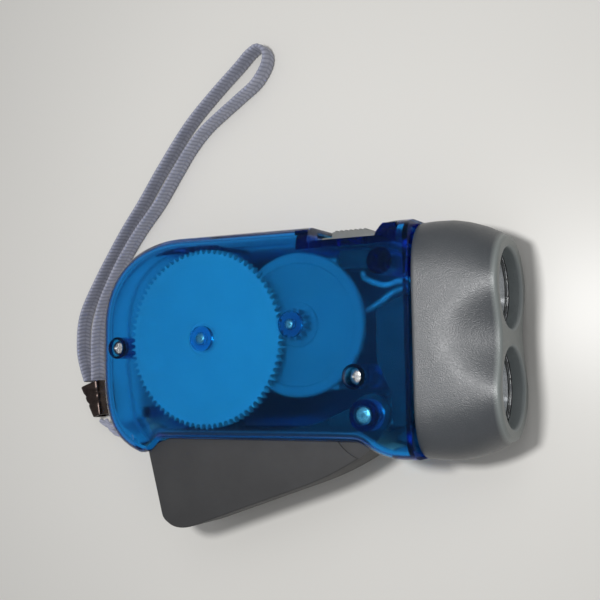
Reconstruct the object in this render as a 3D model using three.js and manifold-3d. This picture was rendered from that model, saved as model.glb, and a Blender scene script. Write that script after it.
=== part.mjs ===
import * as THREE from 'three';
import * as BufferGeometryUtils from 'three/addons/utils/BufferGeometryUtils.js';
import Module from 'manifold-3d';

// A squeeze-lever dynamo torch with a translucent case, two lamps and a wrist strap.
// Millimetres. X runs to the lamps, Y to the thumb switch, Z up from the face it lies on.
// The origin is under the big gear's axis, on that face.

const wasm = await Module();
wasm.setup();

// Driving dimensions of the case
const caseThick = 24;
const wall = 1.6;
const edgeRound = 4.5;
const shellJoint = 0.3;
const tailReach = 30.3;
const seamX = 53.5;
const gearModule = 0.5;
const gearTeeth = 84;
const gearRimRoom = 1.8;
const bodyTop = gearModule * (gearTeeth / 2 + 1) + gearRimRoom + wall;
const headSlope = 0.5;
const bodyTopAtHead = bodyTop - headSlope;
const bodyBottom = 24;
const headBottom = 27.7;
const heelBottom = 27.6;
const heelX = 19.5;
const tailMidY = 3.2;

// Driving dimensions of the head
const headLength = 18.8;
const headWall = 1.8;
const lampDrop = 0.15;
const lampCentreY = (bodyTopAtHead - headBottom) / 2 - lampDrop;
const lampSpread = 10.7;
const bezelFace = 3;
const headStep = 0.5;
const barrelRadius = caseThick / 2 - headStep;
const lampRing = 2.8;
const lampHole = barrelRadius - lampRing;
const waistDip = 3.4;

// Driving dimensions of the gear train
const rotorTeeth = 13;
const gearHeadroom = 1.4;
const gearThick = 2;
const rotorAngle = 5.9;
const rackModule = 0.8;
const rackTeeth = 7;
const pinionTeeth = 12;

// Driving dimensions of the lever
const pivotX = 42.1;
const pivotY = -18;
const leverOpen = 19.3;
const leverFace = 27.8;

// Clearances
const fit = 0.3;
const slideFit = 0.4;
const overrun = 1;

// Screws, pins and bosses
const bossRadius = 3;
const headBossRadius = 2.8;
const rotorBossRadius = 2.6;
const pivotBossRadius = 3.5;
const pinRadius = 1.2;
const rotorPinRadius = 1;
const leverPinRadius = 1.9;
const pinSkin = 0.6;
const pinTipGap = pinSkin + fit;
const blindFloor = 1;
const boltRadius = 1.1;
const screwHeadRadius = 1.9;
const screwHeadThick = 1.5;
const crossWide = 0.5;
const crossDeep = 0.6;
const crossShare = 0.65;
const tailScrewX = -24.7;
const tailScrewY = -1.6;
const tailScrewDeep = 1.2;
const tailBossRadius = 2.7;
const tailScrewHeadZ = caseThick - tailScrewDeep;
const headScrewX = 39.8;
const headScrewY = -9.6;
const headScrewDeep = 2.8;
const headScrewHeadZ = caseThick - headScrewDeep;
const pegX = 46.5;
const pegY = 15.5;
const pegRadius = 1.3;
const pegTipZ = 9;
const postX = -23.6;
const postY = -17.9;
const postRadius = 1.5;

// Colours of the finishes
const clearBlue = { color: 0x1456b8, roughness: 0.25, metalness: 0 };
const bezelGrey = { color: 0x55585c, roughness: 0.5, metalness: 0.1 };
const leverGrey = { color: 0x3a3c40, roughness: 0.65, metalness: 0 };
const switchGrey = { color: 0x5b5e60, roughness: 0.6, metalness: 0 };
const nylon = { color: 0xe9eef0, roughness: 0.55, metalness: 0 };
const steel = { color: 0xb9bcc0, roughness: 0.3, metalness: 1 };
const ferrite = { color: 0x2b2c2e, roughness: 0.7, metalness: 0 };
const copper = { color: 0xa8542a, roughness: 0.35, metalness: 0.8 };
const chrome = { color: 0xe4e6ea, roughness: 0.08, metalness: 1 };
const clear = { color: 0xf2f6f8, roughness: 0.05, metalness: 0 };
const black = { color: 0x17181a, roughness: 0.6, metalness: 0 };
const boardGreen = { color: 0x1e4d2c, roughness: 0.6, metalness: 0 };
const wireWhite = { color: 0xdfe3e6, roughness: 0.5, metalness: 0 };
const wireRed = { color: 0xa3201c, roughness: 0.5, metalness: 0 };
const braid = { color: 0x8f93a6, roughness: 0.9, metalness: 0 };
const gunmetal = { color: 0x3a322e, roughness: 0.35, metalness: 0.9 };

// How finely round shapes are cut
const coarse = 16;
const medium = 28;
const fine = 60;
const roundSteps = 3;
const outlineSteps = 10;
const weld = 1e-4;

const degree = Math.PI / 180;
const parting = caseThick / 2;
const lowerTop = parting - shellJoint / 2;
const upperBottom = parting + shellJoint / 2;
const ceiling = caseThick - wall;

const root = new THREE.Group();

function toSolid(geometry) {
  const bare = geometry.clone();
  bare.deleteAttribute('normal');
  bare.deleteAttribute('uv');
  const merged = BufferGeometryUtils.mergeVertices(bare, weld);
  const index = merged.index.array;
  const kept = [];
  for (let i = 0; i < index.length; i += 3) {
    const [a, b, c] = [index[i], index[i + 1], index[i + 2]];
    if (a !== b && b !== c && c !== a) kept.push(a, b, c);
  }
  const vertProperties = Float32Array.from(merged.attributes.position.array);
  return new wasm.Manifold(new wasm.Mesh({ numProp: 3, vertProperties, triVerts: Uint32Array.from(kept) }));
}

function toGeometry(solid) {
  const { vertProperties, triVerts, numProp } = solid.getMesh();
  const positions = [];
  for (let i = 0; i < vertProperties.length; i += numProp) {
    positions.push(vertProperties[i], vertProperties[i + 1], vertProperties[i + 2]);
  }
  const geometry = new THREE.BufferGeometry();
  geometry.setAttribute('position', new THREE.Float32BufferAttribute(positions, 3));
  geometry.setIndex(Array.from(triVerts));
  geometry.computeVertexNormals();
  return geometry;
}

function addPiece(name, solid, finish) {
  const mesh = new THREE.Mesh(toGeometry(solid), new THREE.MeshStandardMaterial(finish));
  mesh.name = name;
  root.add(mesh);
  return mesh;
}

const join = (first, ...rest) => rest.reduce((sum, piece) => sum.add(piece), first);
const cut = (first, ...rest) => rest.reduce((left, piece) => left.subtract(piece), first);

function block(x, y, z) {
  const geometry = new THREE.BoxGeometry(x[1] - x[0], y[1] - y[0], z[1] - z[0]);
  geometry.translate((x[0] + x[1]) / 2, (y[0] + y[1]) / 2, (z[0] + z[1]) / 2);
  return toSolid(geometry);
}

function post(x, y, z, radius, sides = coarse) {
  const geometry = new THREE.CylinderGeometry(radius, radius, z[1] - z[0], sides);
  geometry.rotateX(Math.PI / 2);
  geometry.translate(x, y, (z[0] + z[1]) / 2);
  return toSolid(geometry);
}

function prism(shape, z, curveSegments = 8) {
  const settings = { depth: z[1] - z[0], bevelEnabled: false, curveSegments };
  const geometry = new THREE.ExtrudeGeometry(shape, settings);
  geometry.translate(0, 0, z[0]);
  return toSolid(geometry);
}

// A lathe profile of [distance along X, radius] pairs, turned about an axis parallel to X.
function turnedAlongX(profile, y, z, sides = coarse) {
  const points = profile.map(([along, radius]) => new THREE.Vector2(radius, along));
  const geometry = new THREE.LatheGeometry(points, sides);
  geometry.rotateZ(-Math.PI / 2);
  geometry.translate(0, y, z);
  let solid = toSolid(geometry);
  if (solid.volume() < 0) {
    geometry.index.array.reverse();
    solid = toSolid(geometry);
  }
  return solid;
}

function polygon(points) {
  return new THREE.Shape(points.map(([x, y]) => new THREE.Vector2(x, y)));
}

// A closed skin over a row of rings that all have the same number of points.
function skin(rings, capTriangles) {
  const count = rings[0].length;
  const index = [];
  for (let i = 0; i < rings.length - 1; i += 1) {
    for (let k = 0; k < count; k += 1) {
      const [a, b] = [i * count + k, i * count + ((k + 1) % count)];
      index.push(a, b, b + count, a, b + count, a + count);
    }
  }
  const last = (rings.length - 1) * count;
  for (const [a, b, c] of capTriangles) {
    index.push(a, c, b, last + a, last + b, last + c);
  }
  const geometry = new THREE.BufferGeometry();
  geometry.setAttribute('position', new THREE.Float32BufferAttribute(rings.flat(2), 3));
  geometry.setIndex(index);
  const solid = toSolid(geometry);
  if (solid.volume() > 0) return solid;
  geometry.setIndex(index.reverse());
  return toSolid(geometry);
}

const fan = (sides) => Array.from({ length: sides - 2 }, (unused, i) => [0, i + 1, i + 2]);
const flatCap = (points) => {
  const outline = points.map(([x, y]) => new THREE.Vector2(x, y));
  const turn = THREE.ShapeUtils.isClockWise(outline) ? 1 : 0;
  return THREE.ShapeUtils.triangulateShape(outline, []).map(([a, b, c]) => (turn ? [a, c, b] : [a, b, c]));
};

const onCircle = (x, y, radius, angle) => [x + radius * Math.cos(angle), y + radius * Math.sin(angle)];

// A tube of oval section along a list of points; up is the direction its wide side starts from.
function tube(points, wide, thick, sides, up = new THREE.Vector3(0, 0, 1), turning = false) {
  const last = points.length - 1;
  let normal = up;
  const rings = points.map((point, i) => {
    const tangent = points[Math.min(i + 1, last)].clone().sub(points[Math.max(i - 1, 0)]).normalize();
    const from = turning ? normal : up;
    normal = from.clone().addScaledVector(tangent, -from.dot(tangent)).normalize();
    const side = new THREE.Vector3().crossVectors(tangent, normal);
    return Array.from({ length: sides }, (unused, k) => {
      const angle = (2 * Math.PI * (k + 0.5)) / sides;
      const at = point.clone().addScaledVector(normal, (wide / 2) * Math.sin(angle));
      return at.addScaledVector(side, (thick / 2) * Math.cos(angle)).toArray();
    });
  });
  return skin(rings, fan(sides));
}

const curve = (points) => new THREE.CatmullRomCurve3(points, false, 'centripetal');
const along = (points, steps) => curve(points).getSpacedPoints(steps);
const vectors = (points) => points.map(([x, y, z]) => new THREE.Vector3(x, y, z));

// Least gap of a wound tube to its own other turns, between surfaces.
function leastGap(points, stepsPerTurn, thick) {
  let least = Infinity;
  for (let i = 0; i < points.length; i += 1) {
    for (let j = i + Math.ceil(stepsPerTurn / 2); j < points.length; j += 1) {
      least = Math.min(least, points[i].distanceTo(points[j]));
    }
  }
  return least - thick;
}

// The case's outline in plan, seen from the front, past the seam by caseBeyond.
const caseBeyond = 10;
const tailTopX = -7;
const tailTopReachShare = 0.53;
const tailTopRiseShare = 0.68;
const tailLowDropShare = 0.5;
const heelHandleX = -31.7;
const heelHandleRise = 4.2;
const heelEndX = -12.5;
const heelSweep = 3.5;
const flareStartX = 38;
const flareEndX = 50;
const flareHandle = 3.5;
const flareEndHandle = 7;

function caseOutline() {
  const shape = new THREE.Shape();
  shape.moveTo(seamX + caseBeyond, -headBottom);
  shape.lineTo(seamX + caseBeyond, bodyTopAtHead);
  shape.lineTo(tailTopX, bodyTop);
  shape.bezierCurveTo(
    tailTopX - tailTopReachShare * (tailReach + tailTopX), bodyTop,
    -tailReach, tailMidY + tailTopRiseShare * (bodyTop - tailMidY),
    -tailReach, tailMidY,
  );
  shape.bezierCurveTo(
    -tailReach, tailMidY - tailLowDropShare * (heelBottom + tailMidY),
    heelHandleX, heelHandleRise - heelBottom,
    -heelX, -heelBottom,
  );
  shape.bezierCurveTo(
    heelSweep - heelX, -heelBottom,
    heelEndX - heelSweep, -bodyBottom,
    heelEndX, -bodyBottom,
  );
  shape.lineTo(flareStartX, -bodyBottom);
  shape.bezierCurveTo(
    flareStartX + flareHandle, -bodyBottom,
    flareEndX - flareEndHandle, -headBottom,
    flareEndX, -headBottom,
  );
  return shape;
}

// The outline moved inwards by inset, corner by corner.
function movedIn(points, inset) {
  const count = points.length;
  return points.map((point, i) => {
    const before = point.clone().sub(points[(i + count - 1) % count]).normalize();
    const after = points[(i + 1) % count].clone().sub(point).normalize();
    const mitre = inset / (1 + before.dot(after));
    return [point.x - (before.y + after.y) * mitre, point.y + (before.x + after.x) * mitre];
  });
}

// The whole rounded body, shrunk by inset all round.
function bodySolid(inset) {
  const outline = caseOutline().getPoints(outlineSteps);
  if (THREE.ShapeUtils.isClockWise(outline)) outline.reverse();
  const round = edgeRound - inset;
  const rings = [];
  const level = (share, top) => {
    const angle = (share * Math.PI) / 2;
    const z = inset + round * (1 - Math.cos(angle));
    const moved = movedIn(outline, edgeRound - round * Math.sin(angle));
    rings.push(moved.map(([x, y]) => [x, y, top ? caseThick - z : z]));
  };
  for (let i = 0; i <= roundSteps; i += 1) level(i / roundSteps, false);
  for (let i = roundSteps; i >= 0; i -= 1) level(i / roundSteps, true);
  return skin(rings, flatCap(outline.map(({ x, y }) => [x, y])));
}

// The head's cross section at share s of its length, shrunk by inset, as [y, z] pairs round the head.
const lengthShares = [26, 26.2, 26.1, 25.4, 24.2, 22.9, 22.2];
const stationShares = [0, 0.2, 0.4, 0.6, 0.8, 0.95, 1];
const rearCorner = 2.8;
const frontCorner = 2;
const capSteps = 12;
const waistSteps = 6;
const dipStartShare = 0.2;
const frontEdge = 0.8;

function headReach(share) {
  let i = 1;
  while (i < stationShares.length - 1 && stationShares[i] < share) i += 1;
  const from = stationShares[i - 1];
  const part = THREE.MathUtils.clamp((share - from) / (stationShares[i] - from), 0, 1);
  const scale = (bodyTopAtHead + headBottom) / 2 / lengthShares[0];
  return scale * THREE.MathUtils.lerp(lengthShares[i - 1], lengthShares[i], part);
}

function headSection(share, inset) {
  const dip = waistDip * THREE.MathUtils.smoothstep(share, dipStartShare, 1);
  const power = 2 / THREE.MathUtils.lerp(rearCorner, frontCorner, share);
  const half = barrelRadius - inset;
  const reach = headReach(share) - lampSpread - inset;
  const points = [];
  const signed = (value) => Math.sign(value) * Math.abs(value) ** power;
  for (const side of [1, -1]) {
    for (let i = 0; i <= capSteps; i += 1) {
      const angle = -Math.PI / 2 + (Math.PI * i) / capSteps;
      const y = side * (lampSpread + reach * signed(Math.cos(angle)));
      points.push([lampCentreY + y, parting + side * half * signed(Math.sin(angle))]);
    }
    for (let i = 1; i < waistSteps; i += 1) {
      const turn = (2 * i) / waistSteps - 1;
      const drop = (dip * (1 + Math.cos(Math.PI * turn))) / 2;
      points.push([lampCentreY - side * lampSpread * turn, parting + side * (half - drop)]);
    }
  }
  return points;
}

// A closed loft along X through the head's sections, each [x, share, inset].
function headLoft(stations) {
  const rings = stations.map(([x, share, inset]) => headSection(share, inset).map(([y, z]) => [x, y, z]));
  return skin(rings, flatCap(headSection(stations[0][1], stations[0][2])));
}

// Floors of the switch recess and of the lock's seat, from the top edge
const recessDeep = 3.9;
const recessFloor = bodyTop - recessDeep;
const lockSeatDeep = 1.4;
const lockFloor = bodyTop - lockSeatDeep;
const lockPadThick = 2.1;
const lockPadY = lockFloor - lockPadThick;

// Gear geometry
const addendumShare = 1;
const dedendumShare = 1.2;
const toothShare = 0.35;
const flankTan = Math.tan(20 * degree);

// The outline of count teeth on a full or part wheel; phase is the angle of tooth number 0.
function toothPoints(pitchRadius, toothModule, count, phase, pitchAngle) {
  const points = [];
  const tip = pitchRadius + addendumShare * toothModule;
  const rootRadius = pitchRadius - dedendumShare * toothModule;
  const half = (toothShare * Math.PI * toothModule) / 2;
  for (let i = 0; i < count; i += 1) {
    const middle = phase + i * pitchAngle;
    const rootHalf = (half + dedendumShare * toothModule * flankTan) / rootRadius;
    const tipHalf = (half - addendumShare * toothModule * flankTan) / tip;
    points.push(onCircle(0, 0, rootRadius, middle - rootHalf));
    points.push(onCircle(0, 0, tip, middle - tipHalf));
    points.push(onCircle(0, 0, tip, middle + tipHalf));
    points.push(onCircle(0, 0, rootRadius, middle + rootHalf));
  }
  return points;
}

const gearPitch = (gearModule * gearTeeth) / 2;
const rotorPitch = (gearModule * rotorTeeth) / 2;
const pinionPitch = (rackModule * pinionTeeth) / 2;
const rackPitch = Math.hypot(pivotX, pivotY) - pinionPitch;
const rotorReach = gearPitch + rotorPitch;
const rotorX = rotorReach * Math.cos(rotorAngle * degree);
const rotorY = rotorReach * Math.sin(rotorAngle * degree);
const pivotBearing = Math.atan2(pivotY, pivotX);

// Heights of the gear train's layers, from the front wall down
const gearTopZ = ceiling - gearHeadroom;
const gearBottomZ = gearTopZ - gearThick;
const cupDeep = 5.4;
const cupRoof = 1.1;
const cupZ = [gearBottomZ - cupDeep, gearBottomZ];
const cupRadius = 6.8;
const cupBore = 5.8;
const cupRoofZ = gearBottomZ - cupRoof;
const pinionTall = 4.2;
const pinionZ = [cupZ[0] - slideFit - pinionTall, cupZ[0] - slideFit];
const ratchetZ = [cupZ[0] + fit, cupRoofZ - slideFit];
const ratchetRadius = 3.9;
const ratchetDepth = 0.7;
const ratchetTeeth = 8;
const pawlSlack = 0.2;
const pawlZ = [ratchetZ[0] + pawlSlack, ratchetZ[1] - pawlSlack];
const pawlInner = 4.2;
const pawlOuter = 5.5;
const pawlSpan = 55;
const discGap = 0.5;
const discThick = 2;
const discRadius = 16.6;
const discZ = [gearBottomZ - discGap - discThick, gearBottomZ - discGap];
const spindleRadius = 2.3;
const bobbinPlate = 1.4;
const bobbinLift = 2;
const bobbinLowZ = [wall + bobbinLift, wall + bobbinLift + bobbinPlate];
const bobbinTopZ = [discZ[0] - slideFit - bobbinPlate, discZ[0] - slideFit];
const spindleLift = 1.2;
const spindleBottomZ = bobbinLowZ[1] + spindleLift;
const magnetSlack = 0.2;
const magnetRoom = 0.5;
const magnetZ = [spindleBottomZ + magnetSlack, bobbinTopZ[0] - magnetRoom];
const magnetRadius = 5;

// The stack of two cells on the tray's floor
const cellThick = 3;
const trayFloorThick = 1;
const trayFloorZ = [wall + fit, wall + fit + trayFloorThick];
const cellLow = [trayFloorZ[1] + fit, trayFloorZ[1] + fit + cellThick];
const cellHigh = [cellLow[1] + fit, cellLow[1] + fit + cellThick];

// Lever
const leverWide = 2 * (gearBottomZ - fit - parting);
const leverZ = [parting - leverWide / 2, parting + leverWide / 2];
const leverWall = 1.5;
const fingerWall = 1.8;
const earRadius = 4.6;
const leverTop = 5.7;
const leverTailTop = 18.2;
const leverTailLow = 19.7;
const leverTailLowY = 23.5;
const leverTopFlat = 10.3;
const leverChamfer = [17.5, 26.4];
const leverFaceStart = 13.7;
const leverFaceEnd = 25;
const neckLow = [35.5, 26.3];
const neckEnd = [41.5, 24.2];
const stepDown = [4, 7.8];
const slotCover = [12, 13.2];
const neckTop = [28, 15.5];
const neckTopEnd = [38.6, 14.9];
const neckRight = [45.9, 20.6];
const rackSlack = 0.2;
const rackZ = [pinionZ[0] + rackSlack, pinionZ[1] - rackSlack];
const rackBack = 38;
const rackTopMargin = 1.76;
const rackFootAngle = 192;
const windowY = [-20, -16];
const windowSlack = 1.5;
const lockBarTall = 1.6;
const lockBarRoom = 0.5;
const lockBarZ = [cellHigh[1] + lockBarRoom, cellHigh[1] + lockBarRoom + lockBarTall];
const windowZ = [lockBarZ[0] - windowSlack, lockBarZ[1] + windowSlack];

function leverSide() {
  return polygon([
    [-leverTailTop, -leverTop],
    [-leverTailLow, -leverTailLowY],
    [-leverChamfer[0], -leverChamfer[1]],
    [-leverFaceStart, -leverFace],
    [leverFaceEnd, -leverFace],
    [neckLow[0], -neckLow[1]],
    [neckEnd[0], -neckEnd[1]],
    [neckRight[0], -neckRight[1]],
    [pivotX, pivotY],
    [neckTopEnd[0], -neckTopEnd[1]],
    [neckTop[0], -neckTop[1]],
    [slotCover[0], -slotCover[1]],
    [-stepDown[0], -stepDown[1]],
    [-leverTopFlat, -leverTop],
  ]);
}

function leverHollow() {
  return polygon([
    [fingerWall - leverTailTop, overrun],
    [fingerWall - leverTailLow, -leverTailLowY],
    [-leverFaceStart, fingerWall - leverFace],
    [leverFaceEnd, fingerWall - leverFace],
    [neckLow[0] - fingerWall / 2, fingerWall - neckLow[1]],
    [neckEnd[0] - fingerWall / 2, fingerWall - neckEnd[1]],
    [pivotX + earRadius + overrun, fingerWall - neckEnd[1]],
    [pivotX + earRadius + overrun, overrun],
  ]);
}

// The toothed arm, in the closed lever's place, about the pivot.
function rackArm() {
  const pitchAngle = (Math.PI * rackModule) / rackPitch;
  const mesh = Math.PI + pivotBearing - leverOpen * degree;
  const teeth = toothPoints(rackPitch, rackModule, rackTeeth, mesh, pitchAngle);
  const top = mesh - rackTopMargin * degree;
  const foot = rackFootAngle * degree;
  const rootRadius = rackPitch - dedendumShare * rackModule;
  const backSteps = 10;
  const points = [onCircle(0, 0, rackBack, top), onCircle(0, 0, rootRadius, top), ...teeth.slice(1)];
  const teethEnd = mesh + rackTeeth * pitchAngle;
  for (let i = 0; i <= backSteps; i += 1) {
    points.push(onCircle(0, 0, rootRadius, THREE.MathUtils.lerp(teethEnd, foot, i / backSteps)));
  }
  for (let i = backSteps * 2; i > 0; i -= 1) {
    points.push(onCircle(0, 0, rackBack, THREE.MathUtils.lerp(top, foot, i / (backSteps * 2))));
  }
  const arm = prism(polygon(points), rackZ);
  return arm.translate([pivotX, pivotY, 0]);
}

function leverSolid() {
  const shell = cut(
    join(prism(leverSide(), leverZ), post(pivotX, pivotY, leverZ, earRadius, medium)),
    prism(leverHollow(), [leverZ[0] + leverWall, leverZ[1] - leverWall]),
    post(pivotX, pivotY, [leverZ[0] - overrun, leverZ[1] + overrun], leverPinRadius + fit),
    block([-leverTailLow - overrun, fingerWall - leverTailTop + overrun], windowY, windowZ),
  );
  const closed = join(shell, rackArm().subtract(aboveFace()));
  return closed.translate([-pivotX, -pivotY, 0]).rotate([0, 0, leverOpen]).translate([pivotX, pivotY, 0]);
}

// What lies below the finger plate's middle, so that the rack's foot ends inside the plate.
function aboveFace() {
  const y = [-leverFace - caseThick, fingerWall / 2 - leverFace];
  return block([-tailReach, pivotX], y, [rackZ[0] - overrun, rackZ[1] + overrun]);
}

// Bobbin, coils and cores of the generator
const bobbinLeft = 8.5;
const bobbinRight = 10;
const bobbinX = [rotorX - bobbinLeft, rotorX + bobbinRight];
const bobbinHalfY = 6.6;
const bobbinWall = 1.2;
const spindleHole = 3.2;
const notchHalf = 3.2;
const notchDeep = 2.6;
const notchShift = 3.7;
const coilZ = (bobbinLowZ[0] + bobbinTopZ[1]) / 2;
const flangeInset = 0.25;
const coilDrop = 1;
const tubeShare = 0.64;
const coreShare = 0.36;
const flangeWide = 18;
const coilWide = 16;
const tubeWide = 12;
const coreWide = 9.2;
const flangeHalf = [flangeWide / 2, (bobbinTopZ[1] - bobbinLowZ[0]) / 2 - flangeInset];
const coilHalf = [coilWide / 2, flangeHalf[1] - coilDrop];
const tubeHalf = [tubeWide / 2, tubeShare * coilHalf[1]];
const coreHalf = [coreWide / 2, coreShare * coilHalf[1]];
const spoolShort = 1.7;
const spoolReach = discRadius - spoolShort;
const coreProud = 0.5;
const flangeThick = 1;
const coilInset = 0.3;
const windLoops = 4;
const windSteps = 24;
const windThick = 0.9;
const windCorner = 4;

function spool(side) {
  const y0 = rotorY + side * (bobbinHalfY - bobbinWall / 2);
  const y1 = rotorY + side * spoolReach;
  const span = [Math.min(y0, y1), Math.max(y0, y1)];
  const flangeY = [y1 - (side > 0 ? flangeThick : 0), y1 + (side > 0 ? 0 : flangeThick)];
  return join(
    block([rotorX - tubeHalf[0], rotorX + tubeHalf[0]], span, [coilZ - tubeHalf[1], coilZ + tubeHalf[1]]),
    block(
      [rotorX - flangeHalf[0], rotorX + flangeHalf[0]],
      flangeY,
      [coilZ - flangeHalf[1], coilZ + flangeHalf[1]],
    ),
  );
}

function bobbinSolid() {
  const outerY = [rotorY - bobbinHalfY, rotorY + bobbinHalfY];
  const innerY = [outerY[0] + bobbinWall, outerY[1] - bobbinWall];
  const frame = block(bobbinX, outerY, [bobbinLowZ[0], bobbinTopZ[1]]);
  const room = block([bobbinX[0] - overrun, bobbinX[1] + overrun], innerY, [bobbinLowZ[1], bobbinTopZ[0]]);
  const hole = post(rotorX, rotorY, [bobbinLowZ[0] - overrun, bobbinTopZ[1] + overrun], spindleHole);
  const bore = block(
    [rotorX - coreHalf[0] - fit, rotorX + coreHalf[0] + fit],
    [rotorY - spoolReach - overrun, rotorY + spoolReach + overrun],
    [coilZ - coreHalf[1] - fit, coilZ + coreHalf[1] + fit],
  );
  const notchX = rotorX + notchShift;
  const notch = prism(polygon([
    [notchX - notchHalf, outerY[1] + overrun],
    [notchX - notchHalf, outerY[1]],
    [notchX, outerY[1] - notchDeep],
    [notchX + notchHalf, outerY[1]],
    [notchX + notchHalf, outerY[1] + overrun],
  ]), [bobbinTopZ[0], bobbinTopZ[1] + overrun]);
  return cut(join(frame, spool(1), spool(-1)), room, hole, bore, notch);
}

function coreSolid(side) {
  const near = rotorY + side * (magnetRadius + slideFit);
  const far = rotorY + side * (spoolReach + coreProud);
  return block(
    [rotorX - coreHalf[0], rotorX + coreHalf[0]],
    [Math.min(near, far), Math.max(near, far)],
    [coilZ - coreHalf[1], coilZ + coreHalf[1]],
  );
}

// One outer layer of turns round a plain block of windings.
function coilSolid(side, name) {
  const y0 = rotorY + side * (bobbinHalfY + coilInset);
  const y1 = rotorY + side * (spoolReach - flangeThick - coilInset);
  const span = [Math.min(y0, y1), Math.max(y0, y1)];
  const hollow = block(
    [rotorX - tubeHalf[0] - fit, rotorX + tubeHalf[0] + fit],
    [span[0] - overrun, span[1] + overrun],
    [coilZ - tubeHalf[1] - fit, coilZ + tubeHalf[1] + fit],
  );
  const packed = cut(
    block([rotorX - coilHalf[0], rotorX + coilHalf[0]], span, [coilZ - coilHalf[1], coilZ + coilHalf[1]]),
    hollow,
  );
  const start = span[0] + windThick / 2;
  const length = span[1] - span[0] - windThick;
  const points = [];
  const turns = windLoops * windSteps;
  for (let i = 0; i <= turns; i += 1) {
    const angle = (2 * Math.PI * i) / windSteps;
    const push = (value) => Math.sign(value) * Math.abs(value) ** (2 / windCorner);
    points.push(new THREE.Vector3(
      rotorX + coilHalf[0] * push(Math.cos(angle)),
      start + (length * i) / turns,
      coilZ + coilHalf[1] * push(Math.sin(angle)),
    ));
  }
  console.log(`${name}: least gap between turns ${leastGap(points, windSteps, windThick).toFixed(2)} mm`);
  return join(packed, tube(points, windThick, windThick, 6, new THREE.Vector3(0, 1, 0)));
}

// Switch and lock on the top edge
const recessX = [29.3, 45.9];
const recessRise = 4.6;
const recessLip = 0.8;
const pocketDeep = 1.7;
const pocketTall = 2.6;
const switchTravel = 2.2;
const switchHalf = 5.8;
const footThick = 1;
const blockX = [32.8, 42.1];
const blockRise = 2.5;
const rampRise = 1.6;
const blockRibs = 7;
const ribDeep = 0.3;
const stemX = [36.5, 40];
const stemHalf = 1.1;
const switchBodyX = [34, 42.8];
const switchBodyTall = 4.2;
const switchBodyHalf = 4;
const switchBodyTop = recessFloor - wall - slideFit;
const switchBodyY = [switchBodyTop - switchBodyTall, switchBodyTop];
const switchBodyZ = [parting - switchBodyHalf, parting + switchBodyHalf];

const lockX = [-10.8, 0.2];
const lockThick = 1.4;
const lockHalf = 5.5;
const lockTravel = 3;
const lockRibs = 7;
const lockStem = [-9.8, -7.4];
const lockBarEnd = -19;
const lockHookTip = -17;
const lockHookTall = 2;

// A bar with ribs across its top: a profile in the XY plane.
function ribbedProfile(x, y0, y1, ribs) {
  const pitch = (x[1] - x[0]) / ribs;
  const points = [[x[0], y0]];
  for (let i = 0; i < ribs; i += 1) {
    const from = x[0] + i * pitch;
    points.push([from, y1 - ribDeep], [from + pitch / 4, y1], [from + (3 * pitch) / 4, y1]);
  }
  points.push([x[1], y1 - ribDeep], [x[1], y0]);
  return polygon(points.reverse());
}

function switchSolid() {
  const floor = recessFloor + fit;
  const foot = block(
    [recessX[0] + recessLip, recessX[1] - slideFit],
    [floor, floor + footThick],
    [parting - switchHalf, parting + switchHalf],
  );
  const top = floor + blockRise;
  const grip = prism(
    ribbedProfile(blockX, floor + footThick / 2, top, blockRibs),
    [parting - switchHalf, parting + switchHalf],
  );
  const ramp = prism(polygon([
    [blockX[1] - overrun, floor + footThick / 2],
    [recessX[1] - slideFit, floor + footThick / 2],
    [recessX[1] - slideFit, floor + footThick],
    [blockX[1] - overrun, floor + rampRise + footThick / 2],
  ]), [parting - switchHalf, parting + switchHalf]);
  const stemY = [switchBodyY[1] + fit, floor + footThick / 2];
  const stem = block(stemX, stemY, [parting - stemHalf, parting + stemHalf]);
  return join(foot, grip, ramp, stem);
}

function lockSolid() {
  const floor = lockFloor + fit;
  const grip = prism(
    ribbedProfile(lockX, floor, floor + lockThick, lockRibs),
    [parting - lockHalf, parting + lockHalf],
  );
  const bar = block(lockStem, [lockBarEnd, floor + lockThick / 2], lockBarZ);
  const hook = block([lockHookTip, lockStem[1]], [lockBarEnd, lockBarEnd + lockHookTall], lockBarZ);
  return join(grip, bar, hook);
}

// Cuts through both halves of the case
function recessCut() {
  const z = [-overrun, caseThick + overrun];
  const main = prism(polygon([
    [recessX[0], recessFloor],
    [recessX[1], recessFloor],
    [recessX[1] + recessRise, bodyTopAtHead],
    [recessX[1] + recessRise, bodyTop + overrun],
    [recessX[0], bodyTop + overrun],
  ]), z);
  const half = switchHalf + slideFit;
  const pocket = block(
    [recessX[0] - pocketDeep, recessX[0] + overrun],
    [recessFloor, recessFloor + pocketTall],
    [parting - half, parting + half],
  );
  const slot = block(
    [stemX[0] - switchTravel - slideFit, stemX[1] + slideFit],
    [switchBodyY[1] - overrun, recessFloor + overrun],
    [parting - stemHalf - slideFit, parting + stemHalf + slideFit],
  );
  return join(main, pocket, slot);
}

function lockCut() {
  const seat = block(
    [lockX[0] - lockTravel - slideFit, lockX[1] + slideFit],
    [lockFloor, bodyTop + overrun],
    [parting - lockHalf - slideFit, parting + lockHalf + slideFit],
  );
  const slot = block(
    [lockStem[0] - lockTravel - slideFit, lockStem[1] + slideFit],
    [lockPadY - overrun, lockFloor + overrun],
    [lockBarZ[0] - slideFit, lockBarZ[1] + slideFit],
  );
  return join(seat, slot);
}

const leverSlotX = [-20.8, 47.4];
const leverSlotSide = 0.5;

function leverCut() {
  return block(
    leverSlotX,
    [-headBottom - overrun, -bodyBottom + edgeRound],
    [leverZ[0] - leverSlotSide, leverZ[1] + leverSlotSide],
  );
}

// The strap's way in, through the tail's lower wall
const strapWayOut = [
  [-33, -24.9], [-23.4, -24.9], [-23.4, -19.8], [-26, -19.8], [-26, -16.9], [-33, -16.9],
];
const strapSlotZ = [3.4, 8.2];

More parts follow.
